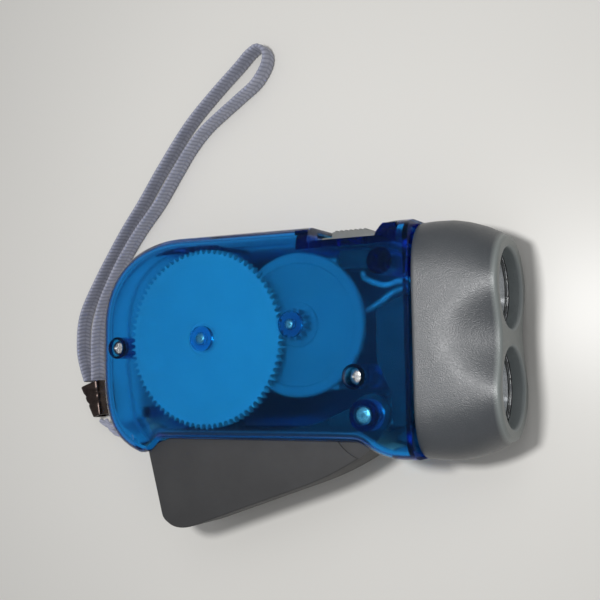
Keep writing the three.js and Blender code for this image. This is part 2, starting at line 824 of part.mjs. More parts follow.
const frontPost = (x, y, from, radius) => post(x, y, [from, ceiling + overrun / 2], radius, medium);
const backPost = (x, y, to, radius) => post(x, y, [wall - overrun / 2, to], radius, medium);

// The neck that the bezel slides over
const neckGap = 0.4;
const neckWall = 1.3;
const neckReach = 3.8;
const bulkhead = 1.6;

function neck() {
  const inset = headWall + neckGap;
  const outer = headLoft([[seamX - overrun, 0, inset], [seamX + neckReach, 0, inset]]);
  return outer;
}

function neckBore() {
  const inset = headWall + neckGap + neckWall;
  return headLoft([[seamX - bulkhead - overrun, 0, inset], [seamX + neckReach + overrun, 0, inset]]);
}

function caseShell(lower) {
  const far = tailReach + caseBeyond;
  const half = lower
    ? block([-far, seamX], [-far, far], [-overrun, lowerTop])
    : block([-far, seamX], [-far, far], [upperBottom, caseThick + overrun]);
  const neckHalf = lower
    ? block([0, far + seamX], [-far, far], [-overrun, lowerTop])
    : block([0, far + seamX], [-far, far], [upperBottom, caseThick + overrun]);
  const room = bodySolid(wall).intersect(block([-far, seamX - bulkhead], [-far, far], [0, caseThick]));
  const switchFloor = block(
    [recessX[0] - pocketDeep - wall, recessX[1] + recessRise],
    [recessFloor - wall, bodyTop - wall],
    [wall, ceiling],
  );
  const lockPad = block(
    [lockX[0] - lockTravel - wall, lockX[1] + wall],
    [lockPadY, bodyTop - wall],
    [wall, gearBottomZ - slideFit],
  );
  const body = bodySolid(0);
  const padded = join(cut(body, room), switchFloor.intersect(body), lockPad.intersect(body));
  const outside = padded.intersect(half);
  let shell = join(outside, neck().intersect(neckHalf));
  shell = cut(shell, neckBore(), recessCut(), lockCut(), leverCut());
  return shell;
}

function backShell() {
  const bosses = join(
    backPost(0, 0, pinionZ[0] - fit, bossRadius),
    backPost(rotorX, rotorY, spindleBottomZ - fit, rotorBossRadius),
    backPost(pivotX, pivotY, leverZ[0] - fit, pivotBossRadius),
    backPost(tailScrewX, tailScrewY, lowerTop, tailBossRadius),
    backPost(headScrewX, headScrewY, lowerTop, headBossRadius),
    backPost(pegX, pegY, lowerTop, bossRadius),
    backPost(postX, postY, lowerTop, postRadius),
  );
  const pinHoles = join(
    post(0, 0, [blindFloor, parting], pinRadius + fit),
    post(rotorX, rotorY, [blindFloor, parting], rotorPinRadius + fit),
    post(pivotX, pivotY, [blindFloor, parting], leverPinRadius + fit),
    post(tailScrewX, tailScrewY, [wall, parting], boltRadius + fit),
    post(headScrewX, headScrewY, [wall, parting], boltRadius + fit),
    post(pegX, pegY, [wall, parting], pegRadius + fit),
  );
  const strapWay = prism(polygon(strapWayOut), strapSlotZ);
  return cut(join(caseShell(true), bosses), pinHoles, strapWay);
}

function frontShell() {
  const bosses = join(
    frontPost(0, 0, gearTopZ + fit, bossRadius),
    frontPost(rotorX, rotorY, gearTopZ + fit, bossRadius),
    frontPost(pivotX, pivotY, leverZ[1] + fit, pivotBossRadius),
    frontPost(tailScrewX, tailScrewY, upperBottom, tailBossRadius),
    frontPost(headScrewX, headScrewY, upperBottom, headBossRadius),
    frontPost(pegX, pegY, upperBottom, bossRadius),
  );
  const through = caseThick + overrun;
  const blindTop = caseThick - pinSkin;
  const pinHoles = join(
    post(0, 0, [parting, blindTop], pinRadius + fit),
    post(rotorX, rotorY, [parting, blindTop], rotorPinRadius + fit),
    post(pivotX, pivotY, [parting, blindTop], leverPinRadius + fit),
    post(tailScrewX, tailScrewY, [parting, through], boltRadius + fit),
    post(tailScrewX, tailScrewY, [tailScrewHeadZ - screwHeadThick - fit, through], screwHeadRadius + fit),
    post(headScrewX, headScrewY, [parting, through], boltRadius + fit),
    post(headScrewX, headScrewY, [headScrewHeadZ - screwHeadThick - fit, through], screwHeadRadius + fit),
  );
  const peg = post(pegX, pegY, [pegTipZ, upperBottom + overrun], pegRadius);
  return join(cut(join(caseShell(false), bosses), pinHoles), peg);
}

addPiece('back_shell', backShell(), clearBlue);
addPiece('front_shell', frontShell(), clearBlue);

// Head bezel
function bezelSolid() {
  const x0 = seamX + fit;
  const length = headLength;
  const rear = stationShares.map((share) => [x0 + share * (length - frontEdge), share, 0]);
  const outer = headLoft([...rear, [x0 + length, 1, frontEdge]]);
  const inside = x0 + length - bezelFace;
  const innerShares = stationShares.map((share) => share * ((length - bezelFace) / length));
  const stations = innerShares.map((share) => [x0 + share * length, share, headWall]);
  stations[0][0] -= overrun;
  stations[stations.length - 1][0] = inside;
  let bezel = cut(outer, headLoft(stations));
  for (const side of [1, -1]) {
    const y = lampCentreY + side * lampSpread;
    const hole = [[inside - overrun, 0], [inside - overrun, lampHole], [x0 + length + overrun, lampHole],
      [x0 + length + overrun, 0]];
    bezel = bezel.subtract(turnedAlongX(hole, y, parting, medium));
  }
  return bezel;
}
addPiece('head_bezel', bezelSolid(), bezelGrey);

// Lens plate, reflectors, LEDs and their board
const lensThick = 1.4;
const lensLap = 0.5;
const lensRadius = lampHole + lensLap;
const lensBridge = 5;
const reflectorDeep = 7;
const reflectorRim = lensRadius - fit / 3;
const reflectorThroat = 3.4;
const reflectorWall = 0.8;
const ledRadius = 2.5;
const ledFlange = 2.9;
const ledFlangeThick = 1;
const ledLength = 7.4;
const boardThick = 1.4;
const boardReach = 19;
const boardRoom = 2.2;
const boardHalf = barrelRadius - headWall - boardRoom;

const lensFront = seamX + fit + headLength - bezelFace - fit;
const lensBack = lensFront - lensThick;
const rimX = lensBack - fit;
const throatX = rimX - reflectorDeep;
const boardX = [seamX + neckReach + fit, seamX + neckReach + fit + boardThick];
const ledBase = boardX[1] + fit;

function disc(x, y, radius, sides) {
  return turnedAlongX([[x[0], 0], [x[0], radius], [x[1], radius], [x[1], 0]], y, parting, sides);
}

function lensSolid() {
  const upper = disc([lensBack, lensFront], lampCentreY + lampSpread, lensRadius, medium);
  const lower = disc([lensBack, lensFront], lampCentreY - lampSpread, lensRadius, medium);
  const bridge = block(
    [lensBack, lensFront],
    [lampCentreY - lampSpread, lampCentreY + lampSpread],
    [parting - lensBridge, parting + lensBridge],
  );
  return join(upper, lower, bridge);
}
addPiece('lens_plate', lensSolid(), clear);

function reflectorSolid(y) {
  const steps = 6;
  const bowl = [];
  for (let i = 0; i <= steps; i += 1) {
    const part = i / steps;
    const radius = reflectorThroat + (reflectorRim - reflectorWall - reflectorThroat) * Math.sqrt(part);
    bowl.push([throatX + part * reflectorDeep, radius]);
  }
  const outer = bowl.map(([x, radius]) => [x, radius + reflectorWall]).reverse();
  return turnedAlongX([...bowl, ...outer, bowl[0]], y, parting, medium);
}

function ledSolid(y) {
  const dome = [];
  const domeSteps = 4;
  const domeStart = ledBase + ledLength - ledRadius;
  for (let i = 0; i <= domeSteps; i += 1) {
    const angle = (Math.PI / 2) * (i / domeSteps);
    dome.push([domeStart + ledRadius * Math.sin(angle), i === domeSteps ? 0 : ledRadius * Math.cos(angle)]);
  }
  return turnedAlongX([
    [ledBase, 0],
    [ledBase, ledFlange],
    [ledBase + ledFlangeThick, ledFlange],
    [ledBase + ledFlangeThick, ledRadius],
    ...dome,
  ], y, parting, coarse);
}

for (const [name, side] of [['upper', 1], ['lower', -1]]) {
  addPiece(`${name}_reflector`, reflectorSolid(lampCentreY + side * lampSpread), chrome);
  addPiece(`${name}_led`, ledSolid(lampCentreY + side * lampSpread), clear);
}
addPiece('led_board', block(
  boardX,
  [lampCentreY - boardReach, lampCentreY + boardReach],
  [parting - boardHalf, parting + boardHalf],
), boardGreen);

// Lamp housing behind the neck, open to the board
const housingX = [44.4, seamX - bulkhead - fit];
const housingTop = [5.2, 8.2];
const housingLow = -20.5;
const housingLowX = 48;
const housingBend = [47.4, -12.5];
const housingBreak = -6;
const housingRoom = 2.4;
const housingZ = [wall + housingRoom, ceiling - housingRoom];
const housingWall = 1.2;

function housingSolid() {
  const outline = (inset) => polygon([
    [housingX[0] + inset, housingTop[0] - inset],
    [housingX[0] + inset, housingBreak],
    [housingBend[0] + inset, housingBend[1]],
    [housingLowX + inset, housingLow + inset],
    [housingX[1] + (inset > 0 ? overrun : 0), housingLow + inset],
    [housingX[1] + (inset > 0 ? overrun : 0), housingTop[1] - inset],
  ]);
  const hollowZ = [housingZ[0] + housingWall, housingZ[1] - housingWall];
  return cut(prism(outline(0), housingZ), prism(outline(housingWall), hollowZ));
}
addPiece('lamp_housing', housingSolid(), black);

// Slide switch and its thumb piece, and the lever lock
addPiece('switch_body', block(switchBodyX, switchBodyY, switchBodyZ), steel);
addPiece('switch_slider', switchSolid(), switchGrey);
addPiece('lever_lock', lockSolid(), switchGrey);

// Axles, pins and screws
function pin(x, y, radius) {
  return post(x, y, [blindFloor + fit, caseThick - pinTipGap], radius);
}
addPiece('gear_axle', pin(0, 0, pinRadius), steel);
addPiece('rotor_axle', pin(rotorX, rotorY, rotorPinRadius), steel);
addPiece('lever_pin', pin(pivotX, pivotY, leverPinRadius), steel);

function screw(x, y, headZ) {
  const shank = post(x, y, [wall + fit, headZ - screwHeadThick / 2], boltRadius);
  const head = post(x, y, [headZ - screwHeadThick, headZ], screwHeadRadius);
  const slot = (wide, tall) => block(
    [x - wide, x + wide],
    [y - tall, y + tall],
    [headZ - crossDeep, headZ + overrun],
  );
  const long = screwHeadRadius * crossShare;
  return cut(join(shank, head), slot(long, crossWide / 2), slot(crossWide / 2, long));
}
addPiece('tail_screw', screw(tailScrewX, tailScrewY, tailScrewHeadZ), steel);
addPiece('head_screw', screw(headScrewX, headScrewY, headScrewHeadZ), steel);

// Drive gear with its clutch cup
const gearBand = 1.6;
const gearWebDrop = 0.5;

function driveGear() {
  const pitchAngle = (2 * Math.PI) / gearTeeth;
  const teeth = toothPoints(gearPitch, gearModule, gearTeeth, rotorAngle * degree, pitchAngle);
  const wheel = prism(polygon(teeth), [gearBottomZ, gearTopZ]);
  const rootRadius = gearPitch - dedendumShare * gearModule;
  const relief = cut(
    post(0, 0, [gearBottomZ - overrun, gearBottomZ + gearWebDrop], rootRadius - gearBand, fine),
    post(0, 0, [gearBottomZ - 2 * overrun, gearTopZ], cupRadius, medium),
  );
  const cup = cut(
    post(0, 0, [cupZ[0], gearBottomZ + gearWebDrop + overrun / 2], cupRadius, medium),
    post(0, 0, [cupZ[0] - overrun, cupRoofZ], cupBore, medium),
  );
  return cut(join(cut(wheel, relief), cup), post(0, 0, [0, caseThick], pinRadius + fit));
}
addPiece('drive_gear', driveGear(), nylon);

// Drive pinion with its ratchet wheel
function drivePinion() {
  const pitchAngle = (2 * Math.PI) / pinionTeeth;
  const teeth = toothPoints(pinionPitch, rackModule, pinionTeeth, pivotBearing + pitchAngle / 2, pitchAngle);
  const toothed = prism(polygon(teeth), pinionZ);
  const saw = [];
  for (let i = 0; i < ratchetTeeth; i += 1) {
    const angle = (2 * Math.PI * i) / ratchetTeeth;
    saw.push(onCircle(0, 0, ratchetRadius, angle), onCircle(0, 0, ratchetRadius - ratchetDepth, angle));
  }
  const wheel = prism(polygon(saw.reverse()), [pinionZ[1] - overrun / 2, ratchetZ[1]]);
  return cut(join(toothed, wheel), post(0, 0, [0, caseThick], pinRadius + fit));
}
addPiece('drive_pinion', drivePinion(), nylon);

function pawl(middle) {
  const half = (pawlSpan / 2) * degree;
  const steps = 5;
  const outer = [];
  const inner = [];
  for (let i = 0; i <= steps; i += 1) {
    const angle = middle - half + (2 * half * i) / steps;
    outer.push(onCircle(0, 0, pawlOuter, angle));
    const reach = THREE.MathUtils.lerp(pawlInner, (pawlInner + pawlOuter) / 2, i / steps);
    inner.push(onCircle(0, 0, reach, angle));
  }
  return prism(polygon([...outer, ...inner.reverse()]), pawlZ);
}
addPiece('clutch_pawl_1', pawl(0), steel);
addPiece('clutch_pawl_2', pawl(Math.PI), steel);

// Flywheel with its pinion, and the ring magnet
const discRim = 2.2;
const discWebDrop = 0.5;

function flywheel() {
  const pitchAngle = (2 * Math.PI) / rotorTeeth;
  const phase = rotorAngle * degree + Math.PI + pitchAngle / 2;
  const teeth = prism(polygon(toothPoints(rotorPitch, gearModule, rotorTeeth, phase, pitchAngle)),
    [discZ[1] - overrun / 2, gearTopZ]).translate([rotorX, rotorY, 0]);
  const dish = post(rotorX, rotorY, [discZ[1] - discWebDrop, discZ[1] + overrun], discRadius - discRim, fine);
  const wheel = cut(post(rotorX, rotorY, discZ, discRadius, fine), dish);
  const spindle = post(rotorX, rotorY, [spindleBottomZ, discZ[0] + overrun], spindleRadius);
  const bore = post(rotorX, rotorY, [0, caseThick], rotorPinRadius + fit);
  return cut(join(wheel, teeth, spindle), bore);
}
addPiece('flywheel', flywheel(), nylon);
addPiece('ring_magnet', cut(
  post(rotorX, rotorY, magnetZ, magnetRadius, medium),
  post(rotorX, rotorY, [0, caseThick], spindleRadius + fit),
), ferrite);

addPiece('stator_bobbin', bobbinSolid(), nylon);
for (const [name, side] of [['upper', 1], ['lower', -1]]) {
  addPiece(`${name}_core`, coreSolid(side), steel);
  addPiece(`${name}_coil`, coilSolid(side, `${name}_coil`), copper);
}

// Rechargeable coin cells in their tray
const cellX = -14;
const cellRadius = 10;
const cellRoom = 2.4;
const trayWall = 1;
const cellY = lockPadY - cellRoom - trayWall - cellRadius;

addPiece('cell_tray', cut(
  post(cellX, cellY, [trayFloorZ[0], cellLow[1]], cellRadius + fit + trayWall, medium),
  post(cellX, cellY, [trayFloorZ[1], caseThick], cellRadius + fit, medium),
), black);
addPiece('coin_cell_1', post(cellX, cellY, cellLow, cellRadius, medium), steel);
addPiece('coin_cell_2', post(cellX, cellY, cellHigh, cellRadius, medium), steel);

// Lever and its torsion spring
addPiece('squeeze_lever', leverSolid(), leverGrey);

const springRadius = 3;
const springWire = 0.9;
const springPitch = 1.4;
const springRoom = 2.5;
const springCurls = Math.round((leverWide - 2 * leverWall - springWire - springRoom) / springPitch);
const springSteps = 8;
const springEndShare = 0.75;
const springZ = parting - (springPitch * springCurls) / 2;
const springLegAngle = 218;
const springLegLength = 10;
const springCaseLeg = 4.4;

function springPoints() {
  const points = [];
  const start = (springLegAngle + 90) * degree;
  const startShare = ((springLegAngle + 90) % 360) / 360;
  const total = springSteps * (springCurls + 2 * springEndShare - startShare);
  const [x0, y0] = onCircle(pivotX, pivotY, springRadius, start);
  const away = springLegAngle * degree;
  points.push(new THREE.Vector3(...onCircle(x0, y0, springLegLength, away), springZ));
  points.push(new THREE.Vector3(...onCircle(x0, y0, springLegLength / 2, away), springZ));
  const count = Math.round(total);
  for (let i = 0; i <= count; i += 1) {
    const angle = start + (2 * Math.PI * i) / springSteps;
    points.push(new THREE.Vector3(
      ...onCircle(pivotX, pivotY, springRadius, angle),
      springZ + (springPitch * i) / springSteps,
    ));
  }
  const last = points[points.length - 1];
  const turn = Math.atan2(last.y - pivotY, last.x - pivotX) + Math.PI / 2;
  points.push(new THREE.Vector3(...onCircle(last.x, last.y, springCaseLeg, turn), last.z));
  return points;
}
const springLine = springPoints();
const springGap = leastGap(springLine, springSteps, springWire);
console.log(`lever_spring: least gap between curls ${springGap.toFixed(2)} mm`);
addPiece('lever_spring', tube(springLine, springWire, springWire, 5), steel);

// Leads inside the case
const leadThick = 1.2;
const leadSides = 8;

function lead(points, steps) {
  return tube(along(vectors(points), steps), leadThick, leadThick, leadSides);
}
const lampLead = [
  [35, 4.4, 10.5], [38, 5.2, 11.4], [41.5, 6.6, 12], [45, 8.8, 12.2], [49, 10.4, 12], [53, 10.8, 12],
  [57.2, 10.8, 12],
];
const switchLead = [
  [38, 14.2, 12], [38.4, 13, 12.2], [41, 11.8, 14], [45, 10.6, 15.4], [49.5, 11.6, 15.4], [53.6, 12.4, 15.4],
  [57.2, 12.4, 15.4],
];
const cellLead = [
  [-2.2, 9.4, 3.4], [1.4, 10.4, 3], [6, 12.4, 2.7], [11, 12, 2.7], [15, 8.8, 2.7], [18, 6.4, 2.7],
  [21.4, 7.6, 2.7],
];
addPiece('lamp_lead', lead(lampLead, 14), wireWhite);
addPiece('switch_lead', lead(switchLead, 14), wireWhite);
addPiece('cell_lead', lead(cellLead, 14), wireRed);

// Wrist strap: a flat braid on its edge, both ends in a crimped ferrule, on a thin tether
const braidWide = 5.5;
const braidThick = 1.4;
const braidSides = 8;
const braidSteps = 78;
const strapRoute = [
  [-49.9, -9.9, 2.95], [-51.2, -6.4, 2.95], [-52.2, -2.6, 2.95], [-52.4, 1.6, 2.95], [-52, 6, 2.95],
  [-50.7, 10.2, 2.95], [-46.3, 17.8, 2.95], [-42.1, 24.1, 2.95], [-36.9, 31.4, 2.95], [-30.9, 38.9, 2.95],
  [-24.6, 47.4, 2.95], [-15.5, 58.4, 2.95], [-7.6, 65.6, 2.95], [-0.2, 71.6, 2.95], [3.6, 74.8, 2.95],
  [6.2, 75.8, 2.95], [8, 74.4, 2.95], [8.2, 71.6, 2.95], [5.2, 66.9, 2.95], [-0.2, 63.2, 2.95],
  [-5.6, 59.8, 2.95], [-10.9, 56.2, 2.95], [-15.6, 51.6, 2.95], [-20.4, 45.4, 2.95], [-26.2, 37.6, 2.95],
  [-32.4, 30.8, 2.95], [-37.8, 23.8, 2.95], [-41.6, 17.8, 2.95], [-45, 11.4, 2.95], [-46.8, 5.6, 2.95],
  [-47.4, 0.6, 2.95], [-47.4, -4, 2.95], [-47.3, -7.4, 2.95], [-47.4, -9.6, 2.95],
];
const braidLine = along(vectors(strapRoute), braidSteps);
addPiece('strap_braid', tube(braidLine, braidWide, braidThick, braidSides), braid);

const ferruleTop = [-48.5, -10.6];
const ferruleEnd = [-45.5, -19.4];
const ferruleHalf = 3.3;
const ferruleEndHalf = 1.6;
const ferruleZ = [0.2, 5.9];

function ferruleSolid() {
  const run = new THREE.Vector2(ferruleEnd[0] - ferruleTop[0], ferruleEnd[1] - ferruleTop[1]).normalize();
  const side = new THREE.Vector2(run.y, -run.x);
  const at = (point, reach) => [point[0] + side.x * reach, point[1] + side.y * reach];
  return prism(polygon([
    at(ferruleTop, ferruleHalf), at(ferruleTop, -ferruleHalf),
    at(ferruleEnd, -ferruleEndHalf), at(ferruleEnd, ferruleEndHalf),
  ].reverse()), ferruleZ);
}
addPiece('strap_ferrule', ferruleSolid(), gunmetal);

const tetherThick = 1.3;
const tetherSides = 8;
const tetherSteps = 34;
const tetherRoute = [
  [-44.2, -20.5, 3.3], [-43.2, -21.9, 3.5], [-41.4, -23.4, 4], [-38.6, -24.4, 4.9], [-35, -24, 5.6],
  [-31.4, -22.7, 5.9], [-28.6, -21.4, 5.9], [-26, -20.7, 5.9], [-23.6, -20.4, 5.9], [-21.5, -19.2, 5.9],
  [-21.2, -16.9, 5.9], [-22.8, -15.4, 5.9], [-25, -15.8, 5.9], [-26.6, -17.7, 5.9], [-28.9, -19.5, 5.9],
  [-32.2, -20.9, 5.6], [-35.6, -22, 5.1], [-38.4, -22.5, 4.8], [-41.4, -22.2, 3.9], [-44, -21.9, 3.4],
  [-46, -20.7, 3.3],
];
const tetherLine = along(vectors(tetherRoute), tetherSteps);
addPiece('strap_tether', tube(tetherLine, tetherThick, tetherThick, tetherSides), braid);

export default root;
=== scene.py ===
"""A squeeze-lever dynamo flashlight with a see-through case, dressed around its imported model."""

import logging
import math
from collections.abc import Callable, Sequence
from dataclasses import dataclass, field
from enum import Enum

import bmesh
import bpy
from mathutils import Matrix, Vector


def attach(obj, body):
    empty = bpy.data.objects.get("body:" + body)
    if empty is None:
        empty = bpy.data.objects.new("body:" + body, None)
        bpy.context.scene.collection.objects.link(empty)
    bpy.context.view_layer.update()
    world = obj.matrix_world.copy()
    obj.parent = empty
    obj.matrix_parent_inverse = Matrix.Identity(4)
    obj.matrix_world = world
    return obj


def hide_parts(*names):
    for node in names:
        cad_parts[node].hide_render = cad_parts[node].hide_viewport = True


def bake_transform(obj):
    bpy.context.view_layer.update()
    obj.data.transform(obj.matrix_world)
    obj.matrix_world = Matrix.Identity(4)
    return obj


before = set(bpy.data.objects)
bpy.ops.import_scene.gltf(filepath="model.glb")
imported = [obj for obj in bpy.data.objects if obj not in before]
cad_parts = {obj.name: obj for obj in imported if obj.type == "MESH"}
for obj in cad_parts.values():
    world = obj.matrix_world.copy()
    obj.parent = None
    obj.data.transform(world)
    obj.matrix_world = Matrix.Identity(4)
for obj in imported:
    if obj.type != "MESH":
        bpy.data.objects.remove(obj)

LOG = logging.getLogger("flashlight")
MM = 0.001
MERGE = 1e-7

Flat = tuple[float, float]
Solid = tuple[float, float, float]
Colour = tuple[float, float, float]


# Modelling


class Operation(Enum):
    """How one shape meets another."""

    CUT = "DIFFERENCE"
    JOIN = "UNION"
    KEEP = "INTERSECT"


def select_only(obj: bpy.types.Object) -> None:
    """Selects one object and makes it active.

    Args:
        obj: The object to work on.
    """
    bpy.ops.object.select_all(action="DESELECT")
    obj.select_set(True)
    bpy.context.view_layer.objects.active = obj


def apply_modifier(obj: bpy.types.Object, kind: str, **settings: object) -> None:
    """Adds one modifier and applies it.

    Args:
        obj: The object to change.
        kind: The modifier's type.
        **settings: Its settings by name.
    """
    select_only(obj)
    modifier = obj.modifiers.new(kind.title(), kind)
    for name, value in settings.items():
        setattr(modifier, name, value)
    bpy.ops.object.modifier_apply(modifier=modifier.name)


def combine(obj: bpy.types.Object, operation: Operation, *others: bpy.types.Object) -> bpy.types.Object:
    """Cuts, joins or trims an object with others, which are used up.

    Args:
        obj: The object that stays.
        operation: What to do with each of the others.
        *others: The shapes to use.

    Returns:
        The changed object.
    """
    for other in others:
        apply_modifier(obj, "BOOLEAN", operation=operation.value, solver="EXACT", object=other)
        bpy.data.objects.remove(other)
    return obj


def loft(name: str, rings: Sequence[Sequence[Solid]], capped: bool = True) -> bpy.types.Object:
    """Extrudes a loop from ring to ring, in millimetres, and closes its ends.

    Args:
        name: The object's name.
        rings: Rings with the same number of points each.
        capped: Whether the first and last rings get a face.

    Returns:
        A closed mesh object.
    """
    bpy.ops.object.select_all(action="DESELECT")
    bpy.ops.mesh.primitive_circle_add(vertices=len(rings[0]), radius=MM)
    obj = bpy.context.object
    obj.name = obj.data.name = name
    bpy.ops.object.mode_set(mode="EDIT")
    mesh = bmesh.from_edit_mesh(obj.data)
    loop = [v.index for v in mesh.verts]
    first = list(loop)
    for number, ring in enumerate(rings):
        if number:
            bpy.ops.mesh.extrude_edges_indiv()
            mesh = bmesh.from_edit_mesh(obj.data)
            mesh.verts.ensure_lookup_table()
            mesh.verts.index_update()
            loop = [
                next(e.other_vert(mesh.verts[i]) for e in mesh.verts[i].link_edges
                     if e.other_vert(mesh.verts[i]).select).index
                for i in loop
            ]
        mesh.verts.ensure_lookup_table()
        for i, (x, y, z) in zip(loop, ring):
            mesh.verts[i].co = (x * MM, y * MM, z * MM)
        bmesh.update_edit_mesh(obj.data)
    if capped:
        for end in (first, loop):
            bpy.ops.mesh.select_all(action="DESELECT")
            mesh = bmesh.from_edit_mesh(obj.data)
            mesh.verts.ensure_lookup_table()
            for i in end:
                mesh.verts[i].select = True
            mesh.select_flush_mode()
            bpy.ops.mesh.edge_face_add()
    bpy.ops.mesh.select_all(action="SELECT")
    bpy.ops.mesh.remove_doubles(threshold=MERGE)
    bpy.ops.mesh.normals_make_consistent(inside=False)
    bpy.ops.object.mode_set(mode="OBJECT")
    return obj


def turned(
    name: str, profile: Sequence[Flat], centre: Flat, along_x: bool = False, sides: int = 64
) -> bpy.types.Object:
    """Turns a profile about an axis along Z, or along X.

    Args:
        name: The object's name.
        profile: Pairs of place along the axis and radius; a closed profile repeats its first pair.
        centre: Where the axis stands: x and y, or y and z.
        along_x: Whether the axis is along X.
        sides: How many sides the rings have.

    Returns:
        A closed mesh object.
    """
    rings = []
    for place, radius in profile:
        ring = []
        for k in range(sides):
            angle = 2 * math.pi * k / sides
            a, b = centre[0] + radius * math.cos(angle), centre[1] + radius * math.sin(angle)
            ring.append((place, a, b) if along_x else (a, b, place))
        rings.append(ring)
    closed = tuple(profile[0]) == tuple(profile[-1])
    return loft(name, rings, capped=not closed)


def moved_in(points: Sequence[Flat], inset: float) -> list[Flat]:
    """Moves an anticlockwise outline inwards, corner by corner.

    Args:
        points: The outline.
        inset: How far, in millimetres.

    Returns:
        The moved outline.
    """
    count = len(points)
    moved = []
    for i, (x, y) in enumerate(points):
        before = (Vector((x, y)) - Vector(points[i - 1])).normalized()
        after = (Vector(points[(i + 1) % count]) - Vector((x, y))).normalized()
        mitre = inset / (1 + before.dot(after))
        moved.append((x - (before.y + after.y) * mitre, y + (before.x + after.x) * mitre))
    return unfolded(points, moved)


def unfolded(points: Sequence[Flat], moved: list[Flat]) -> list[Flat]:
    """Draws together the points of a moved outline wherever it has folded over.

    Args:
        points: The outline before its move.
        moved: The moved outline.

    Returns:
        The moved outline without folds, with as many points.
    """
    count = len(points)
    folded = []
    for i in range(count):
        j = (i + 1) % count
        along = Vector(points[j]) - Vector(points[i])
        folded.append(along.dot(Vector(moved[j]) - Vector(moved[i])) < 0)
    clean = list(moved)
    for i in range(count):
        if folded[i] and not folded[i - 1]:
            run = [i]
            while folded[run[-1]]:
                run.append((run[-1] + 1) % count)
            middle = sum((Vector(moved[k]) for k in run), Vector((0, 0))) / len(run)
            for k in run:
                clean[k] = (middle.x, middle.y)
    return clean


def rounded(points: Sequence[Flat], radius: float, steps: int = 5) -> list[Flat]:
    """Rounds the corners of an outline.

    Args:
        points: The corners.
        radius: How far from each corner its curve starts.
        steps: Pieces per corner.

    Returns:
        The rounded outline.
    """
    made = []
    for i, corner in enumerate(points):
        here, last, following = Vector(corner), Vector(points[i - 1]), Vector(points[(i + 1) % len(points)])
        reach = min(radius, 0.45 * (last - here).length, 0.45 * (following - here).length)
        start = here + (last - here).normalized() * reach
        end = here + (following - here).normalized() * reach
        for k in range(steps + 1):
            t = k / steps
            at = start * (1 - t) ** 2 + here * 2 * t * (1 - t) + end * t**2
            made.append((at.x, at.y))
    return made


def plate(
    name: str, outline: Sequence[Flat], low: float, high: float, edge: float = 0.0, steps: int = 3
) -> bpy.types.Object:
    """A flat-sided piece with rounded edges.

    Args:
        name: The object's name.
        outline: Its anticlockwise outline in XY.
        low: Its lower face.
        high: Its upper face.
        edge: The rounding of both rims.
        steps: Pieces per rounding.

    Returns:
        A closed mesh object.
    """
    levels = []
    if edge:
        for k in range(steps + 1):
            angle = math.pi / 2 * k / steps
            levels.append((edge * (1 - math.sin(angle)), edge * (1 - math.cos(angle))))
    else:
        levels.append((0.0, 0.0))
    rings = [[(x, y, low + up) for x, y in moved_in(outline, inset)] for inset, up in levels]
    rings += [[(x, y, high - up) for x, y in moved_in(outline, inset)] for inset, up in reversed(levels)]
    return loft(name, rings)


def block(name: str, x: Flat, y: Flat, z: Flat, edge: float = 0.0) -> bpy.types.Object:
    """A box with bevelled edges.

    Args:
        name: The object's name.
        x: Its reach along X.
        y: Its reach along Y.
        z: Its reach along Z.
        edge: The width of its bevels.

    Returns:
        A closed mesh object.
    """
    box = plate(name, [(x[0], y[0]), (x[1], y[0]), (x[1], y[1]), (x[0], y[1])], z[0], z[1])
    if edge:
        apply_modifier(box, "BEVEL", width=edge * MM, segments=2, limit_method="ANGLE")
    return box


def round_wire(name: str, points: Sequence[Vector], radius: float, closed: bool = False) -> bpy.types.Object:
    """A round wire along a smooth route, as a mesh.

    Args:
        name: The object's name.
        points: Its centreline in millimetres.
        radius: Half its thickness in millimetres.
        closed: Whether it runs back into itself.

    Returns:
        A mesh object.
    """
    curve = bpy.data.curves.new(name, "CURVE")
    curve.dimensions = "3D"
    curve.bevel_depth = radius * MM
    curve.bevel_resolution = 2
    curve.use_fill_caps = True
    line = curve.splines.new("POLY")
    line.points.add(len(points) - 1)
    for point, at in zip(line.points, points):
        point.co = (*(at * MM), 1)
    line.use_cyclic_u = closed
    obj = bpy.data.objects.new(name, curve)
    bpy.context.scene.collection.objects.link(obj)
    select_only(obj)
    bpy.ops.object.convert(target="MESH")
    obj = bpy.context.object
    obj.name = obj.data.name = name
    return obj


def bezier(a: Flat, b: Flat, c: Flat, d: Flat, steps: int) -> list[Flat]:
    """Points of one bezier curve without its first.

    Args:
        a: Its start.
        b: Its first handle.
        c: Its second handle.
        d: Its end.
        steps: How many points.

    Returns:
        The points.
    """
    made = []
    for k in range(1, steps + 1):
        t = k / steps
        share = ((1 - t) ** 3, 3 * t * (1 - t) ** 2, 3 * t * t * (1 - t), t**3)
        made.append(tuple(sum(s * p[i] for s, p in zip(share, (a, b, c, d))) for i in (0, 1)))
    return made


def smooth_route(points: Sequence[Solid], spacing: float) -> list[Vector]:
    """A smooth curve through points, with even steps.

    Args:
        points: The points that it passes.
        spacing: The step's length.

    Returns:
        The curve's points.
    """
    route = [Vector(p) for p in points]
    ends = [route[0] * 2 - route[1], *route, route[-1] * 2 - route[-2]]
    fine: list[Vector] = []
    for i in range(1, len(ends) - 2):
        p = ends[i - 1:i + 3]
        t = [0.0]
        for a, b in zip(p, p[1:]):
            t.append(t[-1] + math.sqrt((b - a).length))
        for k in range(24):
            at = t[1] + (t[2] - t[1]) * k / 24
            level = list(p)
            for depth in (1, 2, 3):
                level = _blend(level, t, depth, at)
            fine.append(level[0])
    fine.append(route[-1])
    return even_steps(fine, spacing)


